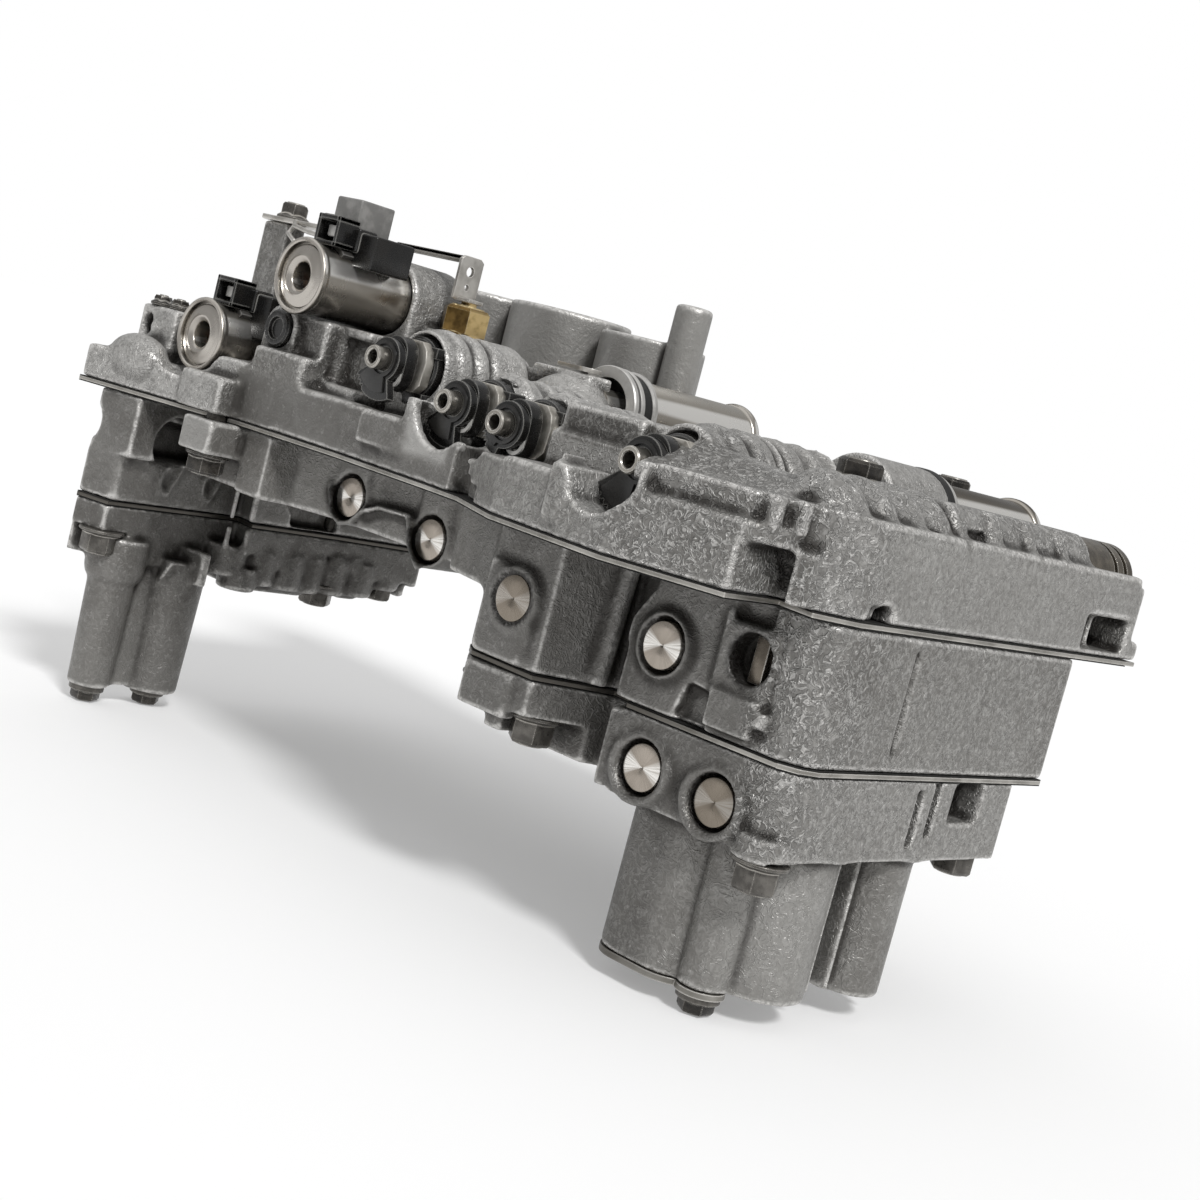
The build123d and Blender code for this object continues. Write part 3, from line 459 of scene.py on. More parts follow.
def skin(obj, voxel):
    """One closed skin over forms that run into each other, rounded where they meet."""
    change = obj.modifiers.new("skin", "REMESH")
    change.mode = "VOXEL"
    change.voxel_size = voxel * 1.0 * MM
    change.adaptivity = 0.0
    settle(obj)
    points, edges = read(obj.data)
    points = relaxed(points, edges, 3, 0.5)
    obj.data.vertices.foreach_set("co", points.astype(np.float32).ravel())
    obj.data.update()
    return points, edges


def age(node, mesh, points, edges):
    """Keeps on the skin what its material needs: worn edges with a painted highlight, grime with painted
    shade in the hollows, rise for painted highlight and shade, painted light and shade, and wrinkle.
    """
    fine = height_over(mesh, points, relaxed(points, edges, 1, 1.0))
    wear = spread(np.clip(fine, 0, None), edges, 1)
    broad = relaxed(points, edges, 14, 0.9)
    tone = field(points, SHADE_AND_TONE[node], 0.0)
    # bore mouths painted black: a painted shadow in the gap round each plug, with less edge brightening there
    mouths = PLUGGED.get(node, []) + ([OPEN_BORE] if node == "middle_body" else [])
    for x, y, z in mouths:
        away = np.hypot(points[:, 0] / MM - x, points[:, 2] / MM - z)
        level = np.abs(points[:, 1] / MM - y) < MOUTH_REACH
        tone[level & (away < MOUTH_RADIUS)] = -1.0
        wear[level & (away < MOUTH_EDGE)] *= 0.25
    store(mesh, "rise", height_over(mesh, points, broad))
    store(mesh, "grime_and_shade", spread(np.clip(-fine, 0, None), edges, 4))
    store(mesh, "wear", wear)
    store(mesh, "tone", tone)
    store(mesh, "wrinkle", field(points, WRINKLES[node], 0.35))


def casting(node, fill, cut, add, voxel, budget):
    """Replaces a cast node with a skin that runs smoothly over the solid and its cast details.

    voxel is the fineness of the skin in millimetres, budget the most triangles that it may have.
    """
    base = new_object(node + "_skin", welded(node))
    join_form(base, fill)
    if cut.points:
        carve(base, cut)
    join_form(base, add)
    points, edges = skin(base, voxel)
    age(node, base.data, points, edges)
    triangles = len(base.data.polygons) * 2
    if triangles > budget:
        thinned(base, budget / triangles)
    smooth_faces(base.data)
    piece(base, "cast", node)


# Materials

def wired(node, *sources, **inputs):
    """Links a socket, or gives a value, to the first inputs of a node and to those that are named."""
    for name, value in (*enumerate(sources), *inputs.items()):
        if isinstance(value, bpy.types.NodeSocket):
            node.id_data.links.new(value, node.inputs[name])
        elif value is not None:
            node.inputs[name].default_value = value
    return node


class Paint:
    """Small helper that wires up a node material. Its base colour is built up in layers."""

    def __init__(self, name):
        self.material = bpy.data.materials.new(name)
        self.material.use_nodes = True
        self.tree = self.material.node_tree
        self.tree.nodes.clear()
        self.place = self.node("ShaderNodeTexCoord").outputs["Object"]
        self.base = None

    def node(self, kind, *sources, **inputs):
        return wired(self.tree.nodes.new(kind), *sources, **inputs)

    def math(self, kind, a, b=None):
        made = self.node("ShaderNodeMath", a, b)
        made.operation = kind
        return made.outputs[0]

    def times(self, a, b):
        return self.math("MULTIPLY", a, b)

    def ramp(self, value, low, high, to_low=0.0, to_high=1.0, smooth=True):
        made = self.node("ShaderNodeMapRange", value, low, high, to_low, to_high)
        made.interpolation_type = "SMOOTHSTEP" if smooth else "LINEAR"
        return made.outputs["Result"]

    def mix(self, share, a, b):
        made = self.node("ShaderNodeMix")
        made.data_type = "RGBA"
        a, b = (colour if isinstance(colour, bpy.types.NodeSocket) else (*colour, 1) for colour in (a, b))
        return wired(made, Factor=share, A=a, B=b).outputs["Result"]

    def start(self, share, a, b):
        """First layer: two colours, mixed by a share."""
        self.base = self.mix(share, a, b)

    def cover(self, share, colour):
        """Lays a colour over the base colour."""
        self.base = self.mix(share, self.base, colour)

    def noise(self, size_mm, detail=2.0, rough=0.5, distort=0.0, place=None):
        made = self.node("ShaderNodeTexNoise", Vector=place or self.place, Scale=1000.0 / size_mm,
                         Detail=detail, Roughness=rough, Distortion=distort)
        return made.outputs["Fac"]

    def parts(self, vector):
        """The x, y and z of a vector."""
        return self.node("ShaderNodeSeparateXYZ", vector).outputs

    def normal(self):
        return self.node("ShaderNodeNewGeometry").outputs["Normal"]

    def attribute(self, name, kind="Fac"):
        made = self.node("ShaderNodeAttribute")
        made.attribute_name = name
        return made.outputs[kind]

    def edges(self, reach_mm):
        """1 along sharp edges, 0 on faces."""
        rounded = self.node("ShaderNodeBevel", Radius=reach_mm * MM)
        rounded.samples = 6
        compare = self.node("ShaderNodeVectorMath", rounded.outputs["Normal"], self.normal())
        compare.operation = "DOT_PRODUCT"
        return self.ramp(compare.outputs["Value"], 0.985, 0.90)

    def bump(self, height, depth_mm, strength=1.0, under=None):
        made = self.node("ShaderNodeBump", Height=height, Distance=depth_mm * MM, Strength=strength,
                         Normal=under)
        return made.outputs["Normal"]

    def finish(self, roughness, metallic, normal=None, sheen=0.0, tangent=None):
        values = {"Base Color": self.base, "Roughness": roughness, "Metallic": metallic, "Normal": normal,
                  "Anisotropic": sheen, "Tangent": tangent}
        shader = self.node("ShaderNodeBsdfPrincipled", **values)
        self.node("ShaderNodeOutputMaterial", shader.outputs["BSDF"])
        return self.material


def cast_metal():
    """Aged die-cast aluminium: wrinkled skin with painted highlights on its crests, bright worn edges
    with a painted highlight, dark oily hollows with painted shade, painted light and shade over its faces.
    """
    paint = Paint("cast_aluminium")
    wrinkle, tone, rise = paint.attribute("wrinkle"), paint.attribute("tone"), paint.attribute("rise")
    broad = paint.noise(34.0, 3.0, 0.55)
    patch = paint.noise(8.0, 3.0, 0.6, 0.8)
    paint.start(paint.ramp(broad, 0.3, 0.7), (0.150, 0.143, 0.132), (0.210, 0.204, 0.191))
    paint.cover(paint.ramp(patch, 0.35, 0.75, 0.0, 0.45), (0.270, 0.264, 0.250))
    # painted light and shade, some own tone; painted highlight on what stands out, painted shade in hollows
    paint.cover(paint.ramp(tone, 0.0, 1.0, smooth=False), (0.62, 0.61, 0.59))
    paint.cover(paint.ramp(tone, 0.0, -1.0, smooth=False), (0.016, 0.014, 0.012))
    paint.cover(paint.ramp(rise, 0.10, 1.0, 0.0, 0.20), (0.50, 0.49, 0.47))
    paint.cover(paint.ramp(rise, -0.10, -1.0, 0.0, 0.36), (0.040, 0.036, 0.031))
    # dark and pale mottle
    mottle = paint.noise(1.7, 3.0, 0.7, 0.6)
    rough_skin = paint.ramp(wrinkle, 0.05, 0.5, 0.0, 0.36)
    paint.cover(paint.times(paint.ramp(mottle, 0.50, 0.38), rough_skin), (0.060, 0.056, 0.050))
    paint.cover(paint.times(paint.ramp(mottle, 0.53, 0.65), rough_skin), (0.56, 0.55, 0.53))
    # wrinkles of the casting skin: crests painted pale as a painted highlight, over a darker ground
    grain = paint.math("SUBTRACT", paint.noise(2.7, 1.5, 0.55, 1.8), 0.5)
    amount = paint.times(wrinkle, paint.ramp(patch, 0.25, 0.6, 0.45, 1.0))
    lit_crest = paint.times(paint.ramp(paint.math("ABSOLUTE", grain), 0.0, 0.10, 1.0, 0.0), amount)
    paint.cover(paint.times(amount, 0.44), (0.055, 0.052, 0.047))
    paint.cover(paint.times(lit_crest, 0.70), (0.60, 0.59, 0.57))
    # specks, oil with painted shade in the hollows, worn edges with a painted highlight
    specks = paint.ramp(paint.noise(1.6, 2.0, 0.7), 0.60, 0.68)
    paint.cover(paint.times(specks, 0.22), (0.50, 0.49, 0.475))
    grime_and_shade = paint.ramp(paint.attribute("grime_and_shade"), 0.004, 0.045)
    paint.cover(paint.times(grime_and_shade, 0.88), (0.022, 0.019, 0.016))
    nicks = paint.ramp(paint.noise(2.2, 3.0, 0.75, 0.5), 0.40, 0.56, 0.3, 1.0)
    wear = paint.times(paint.ramp(paint.attribute("wear"), 0.030, 0.078), nicks)
    paint.cover(paint.times(wear, 0.68), (0.74, 0.725, 0.70))
    normal = paint.bump(lit_crest, 0.55)
    pits = paint.noise(0.8, 2.0, 0.65)
    for height, depth_mm, strength in ((pits, 0.16, 0.6), (mottle, 0.22, 0.7), (patch, 1.0, 0.4)):
        normal = paint.bump(height, depth_mm, strength, normal)
    return paint.finish(paint.ramp(patch, 0.3, 0.7, 0.46, 0.34), 0.45, normal)


def plain_metal(name, colour, dark, roughness, metallic, line_mm, depth_mm, edge=None, stain_mm=6.0,
                line=(1, 1, 1), dark_low_left=None):
    """Metal or moulding: fine lines along one way, stains, painted highlights on edges, darker low on the left."""
    paint = Paint(name)
    along_line = paint.node("ShaderNodeMapping", Vector=paint.place, Scale=line).outputs["Vector"]
    lines = paint.noise(line_mm, 2.0, 0.6, 0.0, along_line)
    paint.start(paint.ramp(paint.noise(stain_mm, 3.0, 0.6), 0.35, 0.7), colour, dark)
    # painted highlight along the edges
    if edge:
        paint.cover(paint.edges(0.62), edge)
    # darker low down and towards the left
    if dark_low_left:
        x, _, z = paint.parts(paint.place)
        paint.cover(paint.times(paint.ramp(z, 0.085, 0.075), paint.ramp(x, 0.128, 0.090)), dark_low_left)
    rough = paint.ramp(lines, 0.3, 0.7, roughness - 0.06, roughness + 0.08)
    return paint.finish(rough, metallic, paint.bump(lines, depth_mm, 0.6))


def turned_metal(name, colour, dark, roughness, sheen, band=None, highlight_wedge=0.0, edge=None):
    """Metal turned on a lathe: its highlight stretches across the tool marks.

    band paints light by which way the case faces: a painted bright reflection line at a slant in degrees,
    over painted colours for its top, its shaded low part and its middle; wedge is the strength of the
    painted highlight on an end face: upright bright wedges with darker streaks.
    """
    paint = Paint(name)
    stain = paint.noise(14.0, 3.0, 0.6)
    turn = paint.attribute("turn", "Vector")
    paint.start(paint.ramp(stain, 0.40, 0.75, 0.0, 0.6), colour, dark)
    # painted light by facing: painted top colour, painted shade low down, a painted bright reflection line
    if band:
        slant, top, low, middle = band
        x, y, z = paint.parts(paint.normal())
        lean = paint.math("ADD", paint.times(z, math.sin(math.radians(slant))),
                          paint.times(x, math.cos(math.radians(slant))))
        shade = paint.mix(paint.ramp(z, -0.90, -0.25), low, middle)
        shade = paint.mix(paint.ramp(z, 0.62, 0.90, 0.0, 0.8), shade, top)
        shade = paint.mix(paint.ramp(lean, 0.945, 0.978), shade, (0.97, 0.95, 0.91))
        paint.cover(paint.ramp(paint.math("ABSOLUTE", y), 0.35, 0.7, 1.0, 0.0), shade)
    # painted highlight on an end face: darker streaks and bright upright wedges
    if highlight_wedge:
        rays = paint.noise(95.0, 2.0, 0.7, 0.0, turn)
        upright = paint.ramp(paint.math("ABSOLUTE", paint.parts(turn)[2]), 0.80, 0.97)
        upright = paint.times(upright, paint.ramp(rays, 0.36, 0.56, 0.35, 1.0))
        paint.cover(paint.ramp(rays, 0.35, 0.65, 0.0, 0.35), dark)
        paint.cover(paint.times(upright, highlight_wedge), (0.98, 0.96, 0.92))
    # painted highlight along the edges
    if edge:
        paint.cover(paint.edges(0.35), edge)
    rough = paint.ramp(stain, 0.3, 0.7, roughness - 0.03, roughness + 0.05)
    return paint.finish(rough, 0.9, sheen=sheen, tangent=turn)


def facet_brass():
    """Oiled brass: the facet turned to the right is painted bright, a painted light, the others are browner;
    the edges carry a painted highlight.
    """
    paint = Paint("dull_brass")
    x, _, z = paint.parts(paint.normal())
    stain = paint.noise(5.0, 3.0, 0.6)
    paint.start(paint.ramp(stain, 0.35, 0.65), (0.22, 0.138, 0.045), (0.075, 0.045, 0.014))
    # painted light: the facet turned to the right painted bright
    lit_facet = paint.mix(paint.ramp(stain, 0.45, 0.75), (0.80, 0.60, 0.29), (0.46, 0.31, 0.115))
    paint.cover(paint.ramp(x, 0.60, 0.92), lit_facet)
    paint.cover(paint.ramp(z, 0.6, 0.95), (0.24, 0.150, 0.050))
    # painted highlight along the edges
    paint.cover(paint.edges(0.5), (0.90, 0.74, 0.44))
    return paint.finish(0.28, 0.9, paint.bump(stain, 0.05, 0.5))


materials = {
    "cast": cast_metal(),
    "brass": facet_brass(),
    # edge colours below are painted highlights along the edges
    "sheet": plain_metal("rolled_sheet", (0.42, 0.405, 0.375), (0.19, 0.18, 0.16), 0.38, 0.85, 0.8, 0.03,
                         (0.80, 0.78, 0.74), 16.0, (1, 1, 6), (0.115, 0.107, 0.095)),
    "clip": plain_metal("worn_clip", (0.60, 0.575, 0.52), (0.30, 0.28, 0.245), 0.34, 0.8, 0.8, 0.03,
                        (0.80, 0.77, 0.72), 5.0, (1, 1, 4)),
    "key": plain_metal("flat_key_steel", (0.19, 0.165, 0.135), (0.10, 0.085, 0.068), 0.30, 0.8, 0.7, 0.02,
                       (0.85, 0.82, 0.77), line=(1, 1, 5)),
    # cases: painted light by facing, with a painted bright reflection line and painted shade low down
    "can": turned_metal("brushed_can", (0.50, 0.47, 0.43), (0.36, 0.335, 0.30), 0.27, 0.5,
                        (27, (0.45, 0.43, 0.39), (0.060, 0.053, 0.045), (0.42, 0.39, 0.345))),
    "brown_can": turned_metal("oiled_can", (0.46, 0.43, 0.385), (0.30, 0.275, 0.24), 0.27, 0.5,
                              (34, (0.060, 0.050, 0.038), (0.060, 0.053, 0.045), (0.30, 0.272, 0.232))),
    "tube": turned_metal("drawn_tube", (0.36, 0.34, 0.305), (0.22, 0.205, 0.18), 0.25, 0.4,
                         edge=(0.95, 0.93, 0.89)),
    # plug faces: painted highlight, bright upright wedges with darker streaks
    "brown_face": turned_metal("stained_face", (0.26, 0.225, 0.185), (0.17, 0.145, 0.115), 0.24, 0.9,
                               highlight_wedge=0.25),
    "bright_face": turned_metal("turned_face", (0.42, 0.375, 0.325), (0.26, 0.225, 0.187), 0.22, 0.9,
                                highlight_wedge=0.95),
}
# use: (name, colour, stain colour, roughness, metallic, line width, line depth, painted edge highlight colour,
# stain size)
PLAIN = {
    "gasket": ("gasket_fibre", (0.008, 0.008, 0.007), (0.016, 0.015, 0.013), 0.7, 0.0, 0.5, 0.03),
    "turned_steel": ("turned_steel", (0.50, 0.475, 0.44), (0.36, 0.335, 0.30), 0.26, 1.0, 0.8, 0.004, None,
                     12.0),
    "turned_aluminium": ("turned_aluminium", (0.66, 0.61, 0.56), (0.55, 0.50, 0.45), 0.28, 1.0, 0.4, 0.01),
    "spring_steel": ("drawn_wire", (0.30, 0.30, 0.30), (0.2, 0.2, 0.2), 0.35, 1.0, 0.5, 0.01),
    "bolt_steel": ("black_bolt_steel", (0.060, 0.055, 0.048), (0.115, 0.105, 0.092), 0.34, 0.75, 0.9, 0.03,
                   (0.50, 0.48, 0.45)),
    "bright_bolt": ("flange_bolt_steel", (0.075, 0.070, 0.063), (0.155, 0.146, 0.132), 0.32, 0.6, 0.9, 0.03,
                    (0.62, 0.59, 0.54), 3.5),
    "dark_bolt": ("dark_bolt_steel", (0.020, 0.018, 0.016), (0.060, 0.054, 0.046), 0.28, 0.4, 0.9, 0.03,
                  (0.50, 0.48, 0.44), 3.5),
    "black_plastic": ("black_plastic", (0.006, 0.006, 0.006), (0.011, 0.010, 0.009), 0.27, 0.0, 0.5, 0.01,
                      (0.24, 0.235, 0.22)),
    "black_rubber": ("black_rubber", (0.006, 0.006, 0.006), (0.010, 0.010, 0.009), 0.5, 0.0, 0.6, 0.02),
    "copper": ("copper_winding", (0.50, 0.22, 0.10), (0.35, 0.14, 0.06), 0.4, 0.9, 0.5, 0.02),
    "grooved_plug": ("grooved_plug", (0.20, 0.175, 0.14), (0.095, 0.082, 0.066), 0.28, 0.85, 0.6, 0.01,
                     (0.90, 0.87, 0.80), 5.0),
    "saddle": ("grey_saddle", (0.040, 0.038, 0.035), (0.075, 0.072, 0.066), 0.34, 0.3, 0.6, 0.02,
               (0.30, 0.29, 0.28)),
    "grey_box": ("grey_box_moulding", (0.18, 0.177, 0.170), (0.28, 0.274, 0.262), 0.45, 0.2, 0.6, 0.05,
                 (0.50, 0.49, 0.47), 4.0),
    "dark_strap": ("dark_strap", (0.19, 0.18, 0.16), (0.30, 0.285, 0.26), 0.34, 0.4, 0.8, 0.02,
                   (0.62, 0.60, 0.56)),
    "bright_strap": ("bright_strap", (0.56, 0.54, 0.505), (0.36, 0.345, 0.315), 0.34, 0.7, 0.8, 0.02,
                     (0.80, 0.78, 0.74)),
    "cam_face": ("dark_moulding", (0.013, 0.0125, 0.012), (0.024, 0.023, 0.021), 0.33, 0.0, 0.5, 0.02),
    # painted highlight: the bright edge of the adjusters' slots
    "pale_rim": ("pale_rim", (0.62, 0.61, 0.585), (0.40, 0.39, 0.37), 0.4, 0.1, 0.5, 0.01),
    "pale_metal": ("pale_tab", (0.55, 0.54, 0.52), (0.42, 0.41, 0.39), 0.4, 0.6, 0.5, 0.01),
}
materials.update({use: plain_metal(*facts) for use, facts in PLAIN.items()})

ADJUSTERS = [(-30.6, -59.0, 129.4), (3.5, -61.0, 122.9), (26.4, -63.0, 121.4), (89.0, -80.0, 122.3)]
# Solenoids: x, y, z of the flange, way along y, length; D stands 7 mm further forward than its CAD solid
SOLENOIDS = {"a": (-67.0, -62.0, 146.3, 1, 36.0), "b": (-107.5, -62.0, 122.3, 1, 36.0),
             "c": (1.0, 65.0, 131.5, -1, 55.0), "d": (101.0, 72.0, 124.7, -1, 54.0)}

# Upper casting: front wall
fill, cut, add = Shape(), Shape(), Shape()
fill.box(-26, 8, -62.5, -50, 106, 121.8)
fill.box(72, 79, -86.2, -70, 104, 117.6)
fill.pillar(-124.5, -31, 138, 162.3, 3.2)
cut.box(-60, -8.5, -90, -47, 115.4, 140)
for x, z, near, far, radius in ((6.8, 122.2, -90, -47, 11.9), (26.4, 121.4, -90, -54, 10.5),
                                (87.0, 120.6, -92, -72, 10.8), (89.2, 118.2, -76, -68, 11.6),
                                (-107.5, 122.3, -84, -54, 13.6)):
    cut.bore(x, z, near, far, radius)
for x, y, z in ADJUSTERS[:3]:
    cut.bore(x, z - 4.3, y + 1.5, y + 8.0, 11.4)
# vertical flash line on the right front
add.panel([(99.3, 101), (100.9, 101), (100.9, 123.6), (99.3, 123.2)], (0, -86.9, 0), 3)
# two upright ribs and the column beside the slot in the right corner
corner, corner_way = Vector((125, -79, 0)), Vector((11, 18, 0)).normalized()
for reach in (6.8, 13.2):
    foot = corner + corner_way * reach
    add.pillar(foot.x - 0.9, foot.y + 0.5, 116.4, 123.8, 2.1)
add.prism([(132.0, -67.4), (135.2, -62.2), (133.0, -58.0), (128.6, -60.0)], 100.8, 113.0)
# set-back band above the ledge, and the upright valley beside the corner
cut.prism([(97.5, -90), (125.6, -81), (139.5, -62.5), (136.2, -60.8), (123.4, -76.9), (97.5, -84.8)],
          117.0, 125)
valley = corner + corner_way * 17.2 + Vector((0.853, -0.522, 0)) * 4.2
cut.pillar(valley.x, valley.y, 100, 126, 6.2)
# slope behind the wall up to the ridge
add.loft([[(92, -81.5, 119), (92, -81.5, 122.6), (92, -62, 130.6), (92, -50, 130.6), (92, -50, 119)],
          [(126, -73.0, 119), (126, -73.0, 123.2), (126, -62, 126.4), (126, -52, 127.4), (126, -50, 119)]])
# ribbed housing that runs along the right wall from the corner
add.turned((125.4, -61.5, 118.6), REAR, [
    (5.0, 0), (9.0, 1.0), (12.0, 4.0), (13.3, 7.5), (12.9, 10.5), (11.2, 13.0), (11.6, 15.5), (13.4, 18.5),
    (13.2, 21.5), (11.4, 24.5), (11.8, 27.0), (13.4, 30.5), (13.2, 33.5), (11.4, 36.5), (11.8, 39.0),
    (13.3, 42.0), (13.1, 45.0), (11.4, 48.0), (11.2, 60)])
cut.box(112, 142, -14.5, 56, 131.0, 142)
# left front panel that covers the long bolt of the lug
add.prism([(-104, -67.2), (-96, -67.8), (-84.6, -66.6), (-84.6, -58), (-104, -60)], 100.9, 112.0)
# slot and stepped scoop between the two front panels
cut.prism([(17.6, -72), (23.2, -72), (23.2, -56), (17.6, -56)], 100, 112.6)
cut.prism([(23.0, -74), (26.5, -76), (26.5, -64.5), (23.0, -62.5)], 100, 109.4)
cut.prism([(26.4, -75), (30.0, -77), (30.0, -66.6), (26.4, -64.6)], 100, 106.8)
cut.prism([(29.9, -77), (36.5, -81), (36.5, -70.4), (29.9, -66.8)], 100, 105.2)
# column of the hold-down bracket: narrower than its block
cut.box(-133, -110, -39, -31.5, 125, 172)
cut.box(-133, -129.6, -40, -22, 125, 172)
# mound in front of the rear solenoid, and its end collar taken back
cut.bore(1.0, 131.5, 4.0, 11.4, 13.4)
add.ball((-5.0, -5.0, 124), 15.0, (1.1, 0.8, 0.98))
add.prism([(-22, -6), (2, -6), (4, 2), (-20, 4)], 113, 139.6)
cut.box(-21.5, -5.0, -11, 7, 129.8, 142)
# step of the lower left front panel
add.box(-97, -95.5, -64.5, -60, 101, 112)
# top edge of the right wall: slots and worn nicks, then small pads
for place in ((133.2, 137.6, -27, -16, 118.5, 126), (133.6, 137.4, -9, 0.5, 119.5, 126),
              (139.4, 142, -14, -11.8, 121.8, 124.4), (139.8, 142, 22, 24, 122.2, 124.4)):
    cut.box(*place)
for place in ((133, 137.4, 63.4, 64.8, 101.5, 111.6), (134.5, 139.2, -45.6, -41.8, 100.9, 104.2),
              (133.4, 141, 83.2, 87.6, 101, 106.2)):
    add.box(*place)
# humps on the wall beside the end plug housing
for y in (-9.0, 4.0, 19.0, 33.0, 47.0):
    add.ball((127.5, y, 121.5), 8.8, (1.0, 0.62, 1.0))
# ribs around the bore housings, set close together
ROUND_RIBS = ((11.0, 24.0, 5, 6.0), (10.0, 25.0, 5, 7.2), (10.0, 26.0, 4, 8.4), (11.5, 25.0, 6, 8.4))
for (x, y, z), (radius, first, count, pitch) in zip(ADJUSTERS, ROUND_RIBS):
    rib = [(radius - 1, 0), (radius + 1.1, 0.9), (radius + 1.5, 1.7), (radius + 1.1, 2.5), (radius - 1, 3.4)]
    for number in range(count):
        add.turned((x, y + first + number * pitch, z), REAR, rib)
# rounded shoulder of each housing where it meets the adjuster
for x, y, z in ADJUSTERS:
    add.turned((x, y + 22.0, z), REAR, [(9.2, 0), (11.0, 0.4), (11.8, 1.6), (11.4, 3.2), (9, 4.4)])
    cut.bore(x, z, y + 5, y + 21.8, 9.8)
# raised pads, ridges and small bosses on the deck
add.prism([(38, -48), (44, -55), (70, -55), (70, -44), (44, -40)], 113, 126.5)
add.rod((40.5, -40, 124.0), (70, -40, 127.0), 3.0)
add.rod((44, -52, 131.0), (69, -52, 131.0), 1.2)
add.ball((36.0, -36, 119), 9.0, (1.0, 1.6, 1.0))
add.ball((20.0, -20, 118), 11.0, (1.4, 1.2, 1.0))
add.ball((56.0, -12, 118), 11.0, (1.4, 1.2, 1.0))
add.run([(-20, -8, 124), (-6, 4, 124), (-4, 22, 123)], 2.4)
add.run([(60, 20, 119), (78, 30, 121), (84, 48, 121)], 2.2)
add.prism([(-60, -50), (-46, -50), (-44, -44), (-44, -34), (-62, -34)], 113, 118.5)
add.ball((-52, -16, 128), 9.5, (1.2, 1.0, 1.2))
add.pillar(-92, -46, 112, 121.5, 5.2, 4.4)
# small block with an oval hole at the left end, and the mound in front of it
fill.box(-140.2, -121.5, -61.5, -50.5, 109.5, 127.2)
cut.panel([(2.8 * u, 3.5 * v) for u, v in arc(1, 0, 360, 12)], (-136.0, -63, 121.0), 7)
add.ball((-127, -67.5, 110.2), 8.2, (1.5, 0.9, 0.92))
add.bore(-130.6, 120.6, -62.4, -58, 1.9)
add.bore(-131.6, 115.0, -62.2, -58, 1.6)
add.bore(-137, 106, -66, -50, 5.0)
casting("upper_body", fill, cut, add, voxel=0.85, budget=197000)

# Middle casting: left block, with the pockets and ribs of its inner face
fill, cut, add = Shape(), Shape(), Shape()
along = Vector((-7, 55, 0)).normalized()
RIB_FOOT = 69.6


def inner(y):
    """Point on the inner face of the left block."""
    return Vector((-122, -70, 0)) + along * ((y + 70) / along.y)


def inner_outline(*places):
    """Outline on the inner face from (y, z) pairs, as distances along the face."""
    return [((y + 70) / along.y, z) for y, z in places]


fill.box(-134, -124.5, -62, -42, 77, 96)
cut.slab(inner_outline((-66, 80.6), (-66, 97.6), (-15, 97.6), (-15, 80.6)), (-119, -69.6, 0), along, UP, -4.6)
cut.slab(inner_outline((-61.5, 81), (-61, 86), (-58.4, 90.3), (-52.8, 93), (-43, 92), (-36, 91), (-24, 90),
                       (-22, 81)), (-119, -69.6, 0), along, UP, -8.0)
add.slab(inner_outline((-69, 66.4), (-69, 79.4), (-18, 79.4), (-18, 66.4)), (-120.8, -69.8, 0), along, UP, -4)
for first, last in ((-52.0, -45.0), (-34.0, -26.6)):
    hoop = []
    for u, v in arc(1, 100, 269, 28):
        place = inner((first + last) / 2 - 1.0 + 3.4 * u)
        hoop.append((place.x + 1.3, place.y, RIB_FOOT + 4.6 + 4.6 * v))
    add.run(hoop, 0.95, 10)
    start, end = inner(last), inner(first + 3.2)
    add.run([(start.x + 1.3, start.y, RIB_FOOT + 8.6), (end.x + 1.3, end.y, RIB_FOOT + 0.4)], 0.9, 10)
# slanted pocket beside the column, two upright ribs, notch in the front edge
cut.slab([(-1.0, 66.5), (-1.0, 70.5), (-6.5, 76.2), (20, 76.2), (20, 66.5)], (-125, 0, 0), REAR, UP, 12)
add.pillar(-118.6, -17.5, 66, 80, 1.2)
add.pillar(-120.4, -24.0, 66, 80, 1.0)
cut.box(-110, -95.6, -78, -57.5, 86, 99.4)
# arch: rib from pad to pad
arch_rib = ((-53.3, 89.6), (-50.5, 82.6), (-46, 79.9), (-41, 81.4), (-37, 85.6), (-30, 88.2), (-17.4, 88.6),
            (-14.5, 81.0), (-9, 75.6))
add.run([(x, -43.4, z) for x, z in arch_rib], 0.9, 10)
add.box(-70, -58, -44, -38, 84, 96)
cut.box(-35, -20, -45, -40.6, 91.5, 97.0)

# Middle casting: right block
add.panel([(45.5, 66.2), (63.1, 66.2), (63.4, 76.1), (63.4, 81), (61.4, 85.3), (57.9, 88), (51.6, 88.8),
           (45.5, 90)], (0, -71.0, 0), 4)
add.panel([(92, 97), (86.9, 92.6), (82.8, 85.4), (82.5, 81), (84.0, 78.6), (83.4, 66.2), (92, 66.2)],
          (0, -57.2, 0), 9)
fill.box(112.2, 127.6, -58.2, -55, 76, 93)
cut.bore(OPEN_BORE[0], OPEN_BORE[2], -62, -52, 6.1)
cut.box(112.6, 124, -58.6, -55.3, 93.4, 99.4)
cut.panel([(104.5, 75.6), (112.2, 74.6), (112.2, 66.2), (102, 66.2)], (0, -58.5, 0), 4.4)
cut.box(127.2, 128.7, -59.5, -55.4, 74.6, 98.6)
add.box(112.8, 129.6, -59.4, -54, 71.2, 74.8)
add.rod((75.0, -54.5, 66.2), (76.5, -54.5, 98), 2.6)
add.rod((112.2, -57.6, 76), (112.0, -57.6, 95), 0.9)
cut.box(139.2, 142, -22, -20.4, 70, 96)
cut.box(139.6, 142, 12, 13.4, 66, 98)
for x, y, z in PLUGGED["middle_body"]:
    cut.bore(x, z, y - 3, y + 3.2, MOUTH_RADIUS)
